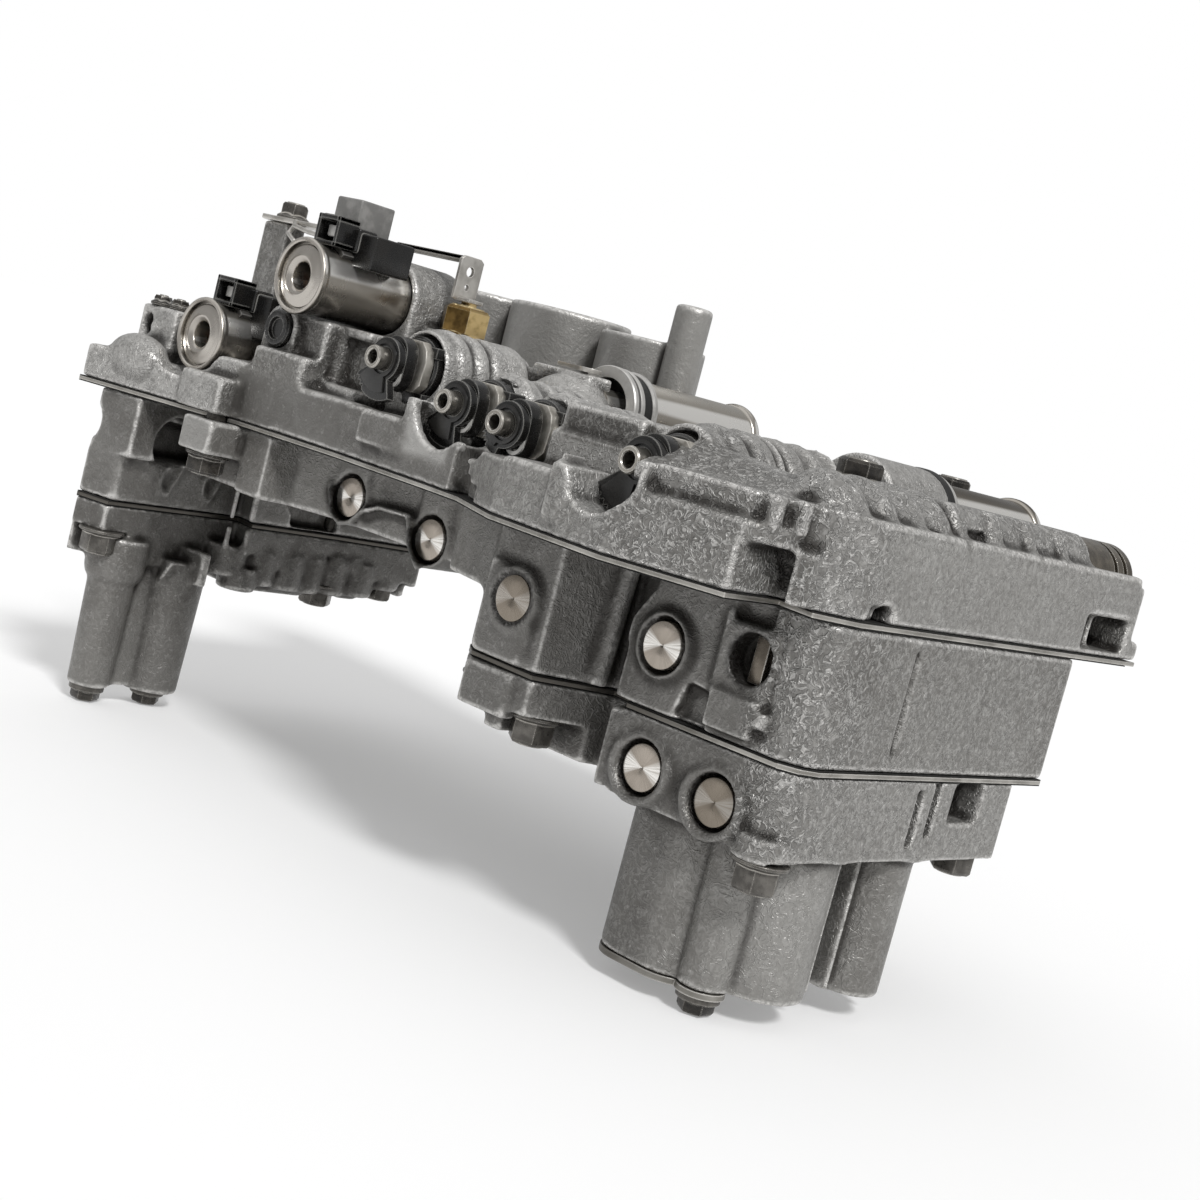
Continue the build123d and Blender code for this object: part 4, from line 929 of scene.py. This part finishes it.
casting("middle_body", fill, cut, add, voxel=0.85, budget=190000)

# Right lower casting
fill, cut, add = Shape(), Shape(), Shape()
for x, y, z in PLUGGED["right_lower_body"]:
    add.run([(u, -57.8, v) for u, v in arc(8.6, 150, 400, 10, (x, z))], 0.8, 10)
    cut.bore(x, z, y - 3, y + 3.2, MOUTH_RADIUS)
add.panel([(83.4, 63.8), (92, 63.8), (90, 52), (86.5, 44), (83.6, 44)], (0, -57.2, 0), 8)
cut.box(134, 142, -4.5, -1.8, 47, 62)
add.box(45.2, 62.0, -71.0, -66, 52.5, 63.6)
cut.box(38.0, 47.5, -70.5, -61.5, 57.0, 60.6)
add.box(52.5, 58.5, -67, -60, 48.5, 53)
# what lies outside the round walls of the two towers
HOLLOWS = (((126.0, -30.0), 12.4, -78, 73, 14), ((130.0, 3.0), 8.8, -80, 81, 2))
for middle, radius, start, stop, margin in HOLLOWS:
    wall = arc(radius, start, stop, 6, middle)
    front, rear = wall[0][1] - margin, wall[-1][1] + 1.0
    cut.prism(wall + [(wall[-1][0] + 1.0, rear), (146, rear), (146, front), (wall[0][0], front)], 4.0, 43.2)
casting("right_lower_body", fill, cut, add, voxel=0.8, budget=140000)

# Left lower casting
fill, cut, add = Shape(), Shape(), Shape()
add.turned((-130, -57, 54), DOWN, [(9.4, 0), (9.4, 10.5), (8.6, 13.2), (6.8, 14.6), (6, 14.8)])
add.panel([(-133, 28), (-119.5, 49.5), (-137, 49.5)], (0, -43.4, 0), 6)
add.prism([(-126, -36), (-116.2, -34), (-116.2, -31), (-126, -30)], 43, 54)
cut.box(-127, -114, -26, -9, 50.4, 55.4)
cut.box(-122.5, -114, -9, 60, 40, 51.5)
WALL_LOBES = ((-19, 7.6, 46.8), (-7, 8.2, 45.0), (5, 8.0, 44.4), (14.5, 7.4, 44.2), (24.5, 8.0, 44.6),
              (36, 8.6, 45.2), (48, 8.2, 48.6))
for y, radius, foot in WALL_LOBES:
    add.turned((-125.8, y, 57), DOWN, [(radius, 0), (radius, 57 - foot - 1), (radius - 1, 57 - foot)])
add.pillar(-118.6, -17.5, 55, 63.5, 1.2)
add.pillar(-120.4, -24.0, 56, 63.5, 1.0)
cut.box(-124, -116, 18, 37, 54.2, 58.4)
add.rod((-122, 23.5, 56.4), (-118.4, 23.5, 56.4), 2.6)
add.rod((-122, 31.5, 56.4), (-118.2, 31.5, 56.4), 2.9)
casting("left_lower_body", fill, cut, add, voxel=0.8, budget=100000)
casting("rear_body", Shape(), Shape(), Shape(), voxel=0.9, budget=50000)

# Bore plugs: turned faces with a centre mark; two of them are browner
PLUG = [(0.02, 0.55), (0.35, 0.25), (0.7, 0.12), (5.35, 0.0), (5.7, 0.1), (5.95, 0.5), (5.95, 8.0),
        (0.02, 8.0)]
for number, (x, y, z) in enumerate(PLUGGED["middle_body"] + PLUGGED["right_lower_body"], start=1):
    plug = lathe(f"plug_{number}", (x, y + 0.5, z), REAR, PLUG)
    piece(plug, "turned_aluminium", "valve_plugs", paint="brown_face" if number in (1, 6) else "bright_face")

# Flat key in the open bore
key = solid("flat_key", Shape().box(118.6, 122.6, -54.4, -51.5, 79.9, 91.0), 0.35)
piece(key, "spring_steel", paint="key")

# Solenoid cases: rolled flange, dished pole face, drawn can
for name, (x, y, z, sign, reach) in SOLENOIDS.items():
    case = lathe("case_" + name, (x, y, z), (0, sign, 0), [
        (4.0, 8.8), (4.0, 1.6), (4.2, 1.2), (5.3, 0.35), (5.7, 0.3), (6.2, 0.7), (7.4, 1.05), (8.6, 1.0),
        (9.2, 1.35), (9.35, 1.9), (9.8, 1.9), (9.9, 0.5), (10.3, 0.1), (10.8, 0.1), (11.15, 0.4),
        (11.3, 0.9), (11.3, 1.7), (11.1, 2.2), (10.7, 2.45), (10.35, 2.9), (10.3, 3.6), (10.3, reach - 1.2),
        (10.0, reach - 0.5), (9.2, reach), (5.5, reach), (5.5, reach + 10.8), (1.5, reach + 10.8),
        (1.5, reach - 3.0), (9.5, reach - 3.0), (9.5, 4.4), (7.2, 4.4), (7.2, 8.8)], 128)
    piece(case, "turned_steel", f"solenoid_{name}_case", paint="brown_can" if name == "d" else "can")

# Adjuster tubes
for number, place in enumerate(ADJUSTERS, start=1):
    tube = lathe(f"tube_{number}", place, REAR,
                 [(1.95, 0.35), (2.2, 0.05), (3.0, 0.05), (3.3, 0.4), (3.3, 18.0), (1.95, 18.0)], 64)
    piece(tube, "turned_steel", "adjuster_tubes", paint="tube")


def tall(wide, high, low):
    """Upright outline with round ends."""
    return arc(wide, 0, 181, 12, (0, high - wide)) + arc(wide, 180, 361, 12, (0, wide - low))


def drilled(obj, x, z, near, far, radius):
    """Cuts a round hole from front to rear through a piece."""
    carve(obj, Shape().bore(x, z, near, far, radius, 48))
    return obj


# Adjusters: how far the cam arm reaches, and the angles that it spans
CAM_HUB, TOOTH = 6.3, 1.3
CAMS = [(11.8, 206, 296), (12.0, 210, 288), (8.6, 200, 260), (14.6, 212, 276)]


def adjuster(number, x, y, z, far, begin, end):
    """Cam arm with a toothed rim, slotted block, steel plate, collar with a toe."""
    sleeve = f"adjuster_{number}_sleeve"
    rim, rim_face = [], []
    for angle in range(0, 360, 4):
        radius = far if begin <= angle <= end else CAM_HUB
        if begin <= angle < begin + 30 and angle <= end and angle // 4 % 2 == 0:
            radius = far - TOOTH
        rim.append(spot(radius, angle))
        rim_face.append(spot(far - 2.2 if begin + 8 <= angle <= end - 6 else 5.2, angle))
    cam = solid(f"cam_{number}", Shape().panel(rim, (x, y + 4.6, z), 2.6))
    piece(drilled(cam, x, z, y - 1, y + 12, 3.4), "black_plastic", sleeve)
    face = solid(f"cam_face_{number}", Shape().panel(rim_face, (x, y + 4.0, z), 0.8))
    piece(drilled(face, x, z, y - 1, y + 12, 4.3), "black_plastic", sleeve, paint="cam_face")
    # slotted block, a pale rim round its slot as a painted highlight on the slot's edge, and the pin in it
    block = solid(f"block_{number}", Shape().panel(tall(5.4, 7.4, 8.2), (x + 0.4, y + 7.4, z), 4.4), 0.5, 3)
    piece(drilled(block, x, z, y + 2, y + 16, 3.4), "black_plastic", sleeve)
    slot_highlight_ring, outer, inside = Shape(), tall(3.4, 5.0, 7.2), tall(2.5, 4.0, 6.2)
    for i in range(len(outer)):
        j = (i + 1) % len(outer)
        slot_highlight_ring.panel([outer[i], outer[j], inside[j], inside[i]], (x + 2.2, y + 6.9, z), 0.7)
    piece(solid(f"rim_{number}", slot_highlight_ring, 0), "black_plastic", sleeve, paint="pale_rim")
    pin = lathe(f"pin_{number}", (x + 2.4, y + 6.6, z - 5.2), REAR,
                [(0.02, 0.0), (0.55, 0.12), (0.8, 0.5), (0.8, 2.0), (0.02, 2.0)], 24)
    piece(pin, "turned_steel", sleeve, paint="pale_metal")
    # steel plate with cut corners
    plate = [(-7.2, -4.8), (-4.6, -7.2), (4.6, -7.2), (7.2, -4.8), (7.6, 1.6), (6.6, 5.2), (4.2, 7.4),
             (-4.2, 7.4), (-6.6, 5.2), (-7.6, 1.6)]
    clip = solid(f"clip_{number}", Shape().panel(plate, (x + 0.4, y + 12.9, z), 3.2), 0.4)
    piece(drilled(clip, x, z, y + 8, y + 18, 4.75), "sheet", "adjuster_clips", paint="clip")
    # collar and the spigot inside the casting
    collar = lathe(f"collar_{number}", (x, y, z), REAR, [
        (3.4, 8.0), (4.6, 8.0), (4.6, 16.4), (8.0, 16.4), (8.7, 17.0), (8.9, 19.6), (8.7, 20.6), (8.3, 21.0),
        (8.3, 22.0), (7.3, 22.0), (7.3, 28.0), (3.4, 28.0)], 80)
    piece(collar, "black_plastic", sleeve)
    toe = Shape().box(x - 2.0, x + 6.0, y + 16.0, y + 21.4, z - 10.8, z - 7.0)
    toe.box(x + 4.6, x + 8.6, y + 15.6, y + 21.8, z + 3.4, z + 6.6)
    piece(solid(f"toe_{number}", toe, 0.4), "black_plastic", sleeve)


for number, (place, cam) in enumerate(zip(ADJUSTERS, CAMS), start=1):
    adjuster(number, *place, *cam)


def six(x, y, z, radius, turn):
    """Corners of an upright hexagon."""
    return [(*spot(radius, turn + 60 * i, (x, y)), z) for i in range(6)]


def hex_bolt(form, place, sign, across, head, flange, shank_radius, shank, turn):
    """Hexagon flange bolt: thin flange, tall head with chamfered corners and a dished end."""
    x, y, z = place
    way = (0, 0, sign)
    half = across / 2
    corner_radius = half / math.cos(math.radians(30))
    form.turned(place, way,
                [(flange - 0.5, 0.0), (flange, 0.25), (flange, 0.9), (flange - 0.8, 1.5), (half, 1.9)], 40)
    form.loft([six(x, y, z + sign * rise, radius, turn) for radius, rise in (
        (corner_radius, 1.2), (corner_radius, head - 0.8), (corner_radius * 0.88, head))])
    form.turned((x, y, z + sign * (head - 0.2)), way,
                [(half - 0.9, 0), (half - 1.2, 0.55), (half - 1.9, 0.6)], 32)
    form.rod(place, (x, y, z - sign * shank), shank_radius, sides=24)


LOWER_BOLTS = [(133.5, -51.5, 42.4), (133.0, 34.0, 45.5), (63.5, -60.5, 55.0), (43.5, -59.0, 59.5),
               (49.0, 38.0, 43.5), (-127.0, -66.5, 56.0), (-125.0, 22.0, 48.0), (-125.0, 49.0, 52.5)]
DECK_BOLTS = [(-13.2, -2.0, 7.8), (110.5, -21.0, 6.0), (-91.0, 4.0, 7.8), (79.0, 72.0, 7.8)]
FEET = [(-130, -57), (-130, -34), (122, -45), (100, -22), (52, 72), (80, 44)]
THREAD_END = 72.8
form = Shape()
for number, (x, y, z) in enumerate(LOWER_BOLTS):
    hex_bolt(form, (x, y, z), -1, 10.0, 7.6, 7.0, 3.0, THREAD_END - z, 11.0 * number)
piece(solid("lower_bolt_heads", form, 0.22), "bolt_steel", "lower_bolts", paint="bright_bolt")
form = Shape()
for number, (x, y, head) in enumerate(DECK_BOLTS):
    hex_bolt(form, (x, y, 129.5), 1, 10.0, head, 6.6, 3.0, 22.0, 17.0 * number + 8)
hex_bolt(form, (-134.2, -58.6, 127.2), 1, 5.0, 3.2, 3.6, 1.4, 6.0, 10)
hex_bolt(form, (-127.6, -56.6, 127.2), 1, 5.0, 3.2, 3.4, 1.4, 6.0, 30)
hex_bolt(form, (-89.0, -62.0, 89.0), -1, 10.0, 6.4, 6.6, 3.0, 18.0, 12)
piece(solid("deck_bolt_heads", form, 0.22), "bolt_steel", "deck_bolts", paint="dark_bolt")
form = Shape()
for number, (x, y) in enumerate(FEET):
    hex_bolt(form, (x, y, 5.0), -1, 8.0, 4.6, 5.4, 2.5, 14.0, 14.0 * number)
piece(solid("foot_bolt_heads", form, 0.2), "bolt_steel", "small_bolts", paint="dark_bolt")
# bolt of the hold-down bracket, and the bright rings over the feet
form = Shape()
hex_bolt(form, (-121.4, -27.0, 163.7), 1, 8.0, 5.2, 5.2, 2.5, 10.0, 20)
for x, y in FEET:
    form.turned((x, y, 6.2), DOWN, [(4.4, 0), (5.0, 0.0), (5.5, 0.3), (5.5, 2.6), (5.0, 3.0), (4.4, 3.0)], 40)
piece(solid("small_bolt_heads", form, 0.2), "bolt_steel", "small_bolts", paint="bright_bolt")


def connector(name, dx, dz, deep):
    """Black cover, open socket with a pale tab, curved saddle round the can."""
    node = f"solenoid_{name}_connector"
    x, y, z = SOLENOIDS[name][:3]
    cover = Shape().box(-62, -51.0, -50, -35, 162.5 - deep, 162.5).box(-69, -58, -51, -44, 156.8, 163.6)
    cover.box(-70, -60, -46, -36, 156.0, 160.5)
    piece(solid("cover_" + name, cover.moved(dx, dz), 0.7, 3), "black_plastic", node)
    socket = Shape()
    walls = ((-69.6, -68.3, 156.6, 165.4), (-60.9, -59.6, 156.6, 165.4), (-69.6, -59.6, 156.6, 158.0),
             (-69.6, -59.6, 164.0, 165.4))
    for x0, x1, z0, z1 in walls:
        socket.box(x0, x1, -57.6, -50, z0, z1)
    piece(solid("socket_" + name, socket.moved(dx, dz), 0.3), "black_plastic", node)
    tab = Shape().box(-66.6, -62.6, -55.6, -49.8, 159.4, 162.8).moved(dx, dz)
    piece(solid("tab_" + name, tab, 0.4), "turned_steel", node, paint="pale_metal")
    saddle = Shape().panel(arc(12.0, 48, 128, 8) + arc(10.33, 120, 40, -8), (x, y + 8.0, z), 20.0)
    piece(solid("saddle_" + name, saddle, 0.4), "black_plastic", node, paint="saddle")


connector("a", 0.0, 0.0, 10.0)
connector("b", -41.0, -24.2, 13.5)
box = Shape().box(-74, -62.5, -49, -36, 160.5, 172.0).box(-82.0, -74, -46.5, -40, 162.6, 166.6)
box.box(-75.5, -61.0, -50.2, -35, 159.6, 162.4)
piece(solid("grey_box", box, 0.6, 3), "black_plastic", "solenoid_a_connector", paint="grey_box")

# Temperature sensor: brass hexagon with a collar, and its pin
x, y, z = -46.0, -14.0, 141.3
form = Shape().loft([six(x, y, z + rise, radius, 24.0) for radius, rise in (
    (6.6, 0), (7.5, 0.8), (7.5, 7.6), (6.5, 8.6))])
form.turned((x, y, z - 0.2), UP, [(6.6, 0), (6.6, 1.0), (5.5, 1.4)], 40)
form.turned((x, y, z + 8.2), UP, [(5.0, 0), (5.0, 0.8), (2.4, 0.9), (2.4, 1.9)], 40)
piece(solid("sensor_hexagon", form, 0.35, 3), "brass", "temperature_sensor")
pin = Shape().pillar(x, y, z + 9.4, z + 10.8, 1.9)
piece(solid("sensor_pin", pin, 0.2), "brass", "temperature_sensor", paint="dark_strap")

# Sensor strap: bar with a turned-down edge, upright plate with two holes, foot on the sensor
bar = Shape().box(-81, -49.6, -17.2, -10.2, 163.4, 164.7).box(-81, -49.6, -17.2, -16.4, 162.4, 164.7)
piece(solid("strap_bar", bar), "sheet", "sensor_strap", paint="dark_strap")
plate = Shape().slab([(-4.6, -13.2), (4.6, -13.2), (4.6, -1.0), (3.2, 0), (-3.2, 0), (-4.6, -1.0)],
                     (-50.0, -13.8, 164.9), REAR, UP, 1.2)
plate = solid("strap_plate", plate)
for height, radius in ((160.4, 1.5), (155.6, 0.9)):
    carve(plate, Shape().rod((-52, -14.0, height), (-46, -14.0, height), radius, sides=48))
piece(plate, "sheet", "sensor_strap", paint="bright_strap")
foot = Shape().box(-50.2, -43.2, -17.0, -11.0, 151.4, 152.5)
piece(solid("strap_foot", foot, 0.2), "sheet", "sensor_strap", paint="bright_strap")

# Hold-down bracket with its wire, and the eyelet on the mound in front of the rear solenoid
plate = Shape().prism([(-131.0, -31.4), (-128.6, -33.6), (-92, -33.6), (-92, -24.6), (-128.6, -21.4),
                       (-131.0, -23.6)], 162.3, 163.8)
plate.box(-92.6, -91, -33.6, -24.6, 155.0, 163.8)
piece(solid("bracket_plate", plate, 0.3), "sheet", "hold_bracket", paint="bright_strap")
wire = Shape().run([(-112, -33.0, 163.2), (-106, -37.5, 161.6), (-96, -39.5, 160.4), (-84, -41, 159.8)],
                   0.75, 12)
wire.run([(-111, -33.0, 163.2), (-110, -36.0, 159.0), (-104, -38.0, 157.0)], 0.75, 12)
piece(solid("bracket_wire", wire, 0), "sheet", "hold_bracket", paint="bright_strap")
eyelet = Shape().slab([(-14.0, -1.6), (-2.0, -1.6), (-2.0, 1.6), (-14.0, 1.6)],
                      (0.0, -2.5, 140.2), ACROSS, REAR, 1.3)
eyelet.turned((-2.0, -2.5, 140.2), UP, [(3.4, 0), (3.4, 1.3)], 40)
eyelet = solid("eyelet", eyelet, 0.2)
carve(eyelet, Shape().rod((-2.0, -2.5, 138), (-2.0, -2.5, 144), 1.4, sides=48))
piece(eyelet, "sheet", "hold_bracket", paint="bright_strap")

# Rings, dark groove and seal at the front ends of the rear solenoids
for name, outline in (
    ("ring_c1", [(9.0, 3.2), (12.2, 3.2), (12.5, 3.6), (12.5, 4.9), (12.1, 5.3), (9.0, 5.3)]),
    ("ring_c2", [(9.0, 6.3), (12.2, 6.3), (12.4, 6.7), (12.4, 7.8), (12.0, 8.2), (9.0, 8.2)]),
    ("groove_c", [(8.8, 5.3), (11.4, 5.3), (11.4, 12.2), (8.8, 12.2)]),
    ("ring_c3", [(10.35, 12.2), (11.6, 12.2), (12.2, 12.7), (12.2, 13.8), (11.6, 14.3), (10.35, 14.3)]),
    ("seal_d", [(10.35, 19.4), (12.6, 19.4), (12.9, 20.0), (12.9, 22.2), (10.35, 22.2)]),
    ("ring_d", [(10.35, 22.2), (12.2, 22.2), (12.5, 22.7), (12.5, 24.4), (11.9, 25.0), (10.35, 25.0)]),
):
    which = "d" if name.endswith("d") else "c"
    x, _, z = SOLENOIDS[which][:3]
    ring = lathe(name, (x, 0.0, z), REAR, outline)
    if name.startswith("ring"):
        piece(ring, "turned_steel", f"solenoid_{which}_case", paint="pale_metal")
    else:
        piece(ring, "black_rubber", f"solenoid_{which}_case")

# Springs: a thinned copy of the spring of each spool or piston that has a joint
SPRING_SHARE = 0.08
springs = {f"valve_{number}": f"valve_spring_{number}" for number in range(1, 8)}
springs |= {f"piston_{number}": f"accumulator_spring_{number}" for number in range(1, 4)}
for joint in frame["joints"]:
    if joint["child"] in springs:
        node = springs[joint["child"]]
        spring = new_object("wire_" + node, welded(node))
        thinned(spring, SPRING_SHARE)
        smooth_faces(spring.data)
        piece(spring, slot_of[node], node)
        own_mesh(spring)

# CAD nodes that stay; inside the castings their edges stay sharp
INSIDE = ("spool", "accumulator", "check", "solenoid_coils")
for node, obj in nodes.items():
    if not obj.hide_render:
        dress(node, "grooved_plug" if node == "end_plug" else slot_of[node],
              0 if node.startswith(INSIDE) else 0.2)


# Floor, light and camera

def floor_paint():
    """Pale floor that a camera sees as white, apart from the object's shadow."""
    paint = Paint("pale_floor")
    flat = paint.node("ShaderNodeBsdfDiffuse", Color=(0.93, 0.93, 0.93, 1))
    shown = paint.node("ShaderNodeBsdfDiffuse", Color=(0.71, 0.71, 0.71, 1))
    glow = paint.node("ShaderNodeEmission", Strength=0.26)
    both = paint.node("ShaderNodeAddShader", shown.outputs[0], glow.outputs[0])
    ray = paint.node("ShaderNodeLightPath").outputs
    seen = paint.math("MAXIMUM", ray["Is Camera Ray"], ray["Is Glossy Ray"])
    seen = paint.math("MAXIMUM", seen, ray["Is Transmission Ray"])
    choice = paint.node("ShaderNodeMixShader", seen, flat.outputs[0], both.outputs[0])
    paint.node("ShaderNodeOutputMaterial", choice.outputs[0])
    return paint.material


FLOOR_HALF, FLOOR_GAP = 6.0, 0.0002
ground = bpy.data.meshes.new("floor")
ground.from_pydata([(x * FLOOR_HALF, y * FLOOR_HALF, 0) for x, y in ((-1, -1), (1, -1), (1, 1), (-1, 1))],
                   [], [(0, 1, 2, 3)])
ground.materials.append(floor_paint())
floor = new_object("floor", ground)
floor.location = (0, 0, -FLOOR_GAP)

# Soft white studio light; a camera sees the surroundings as plain white
WHITE = (1.0, 1.0, 1.0, 1)
world = bpy.data.worlds.new("studio")
scene.world = world
world.use_nodes = True
studio = world.node_tree.nodes
sky = wired(studio["Background"], Color=WHITE, Strength=0.42)
backdrop = wired(studio.new("ShaderNodeBackground"), Color=WHITE, Strength=1.0)
seen = studio.new("ShaderNodeLightPath").outputs["Is Camera Ray"]
choice = wired(studio.new("ShaderNodeMixShader"), seen, sky.outputs[0], backdrop.outputs[0])
wired(studio["World Output"], choice.outputs[0])


def sun(name, way_to_light, strength, spread_deg):
    light = bpy.data.lights.new(name, "SUN")
    light.energy = strength
    light.angle = math.radians(spread_deg)
    new_object(name, light).rotation_euler = Vector(way_to_light).to_track_quat("Z", "Y").to_euler()


sun("key", (0.84, -0.40, 0.92), 2.20, 12)
sun("fill", (-0.35, 0.10, 1.0), 0.50, 70)

# Camera as it was fitted to the photograph
lens = bpy.data.cameras.new("camera")
lens.sensor_width = 36.0
lens.lens = 56.4
lens.clip_end = 50.0
camera = new_object("camera", lens)
right_way = (0.711013, 0.656977, 0.250680)
up_way = (-0.256532, -0.089578, 0.962376)
back_way = (0.654715, -0.748570, 0.104844)
eye = (0.372253, -0.400884, 0.134746)
rows = [(right_way[axis], up_way[axis], back_way[axis], eye[axis]) for axis in range(3)]
camera.matrix_world = Matrix([*rows, (0, 0, 0, 1)])
scene.camera = camera
scene.view_settings.view_transform = "Standard"
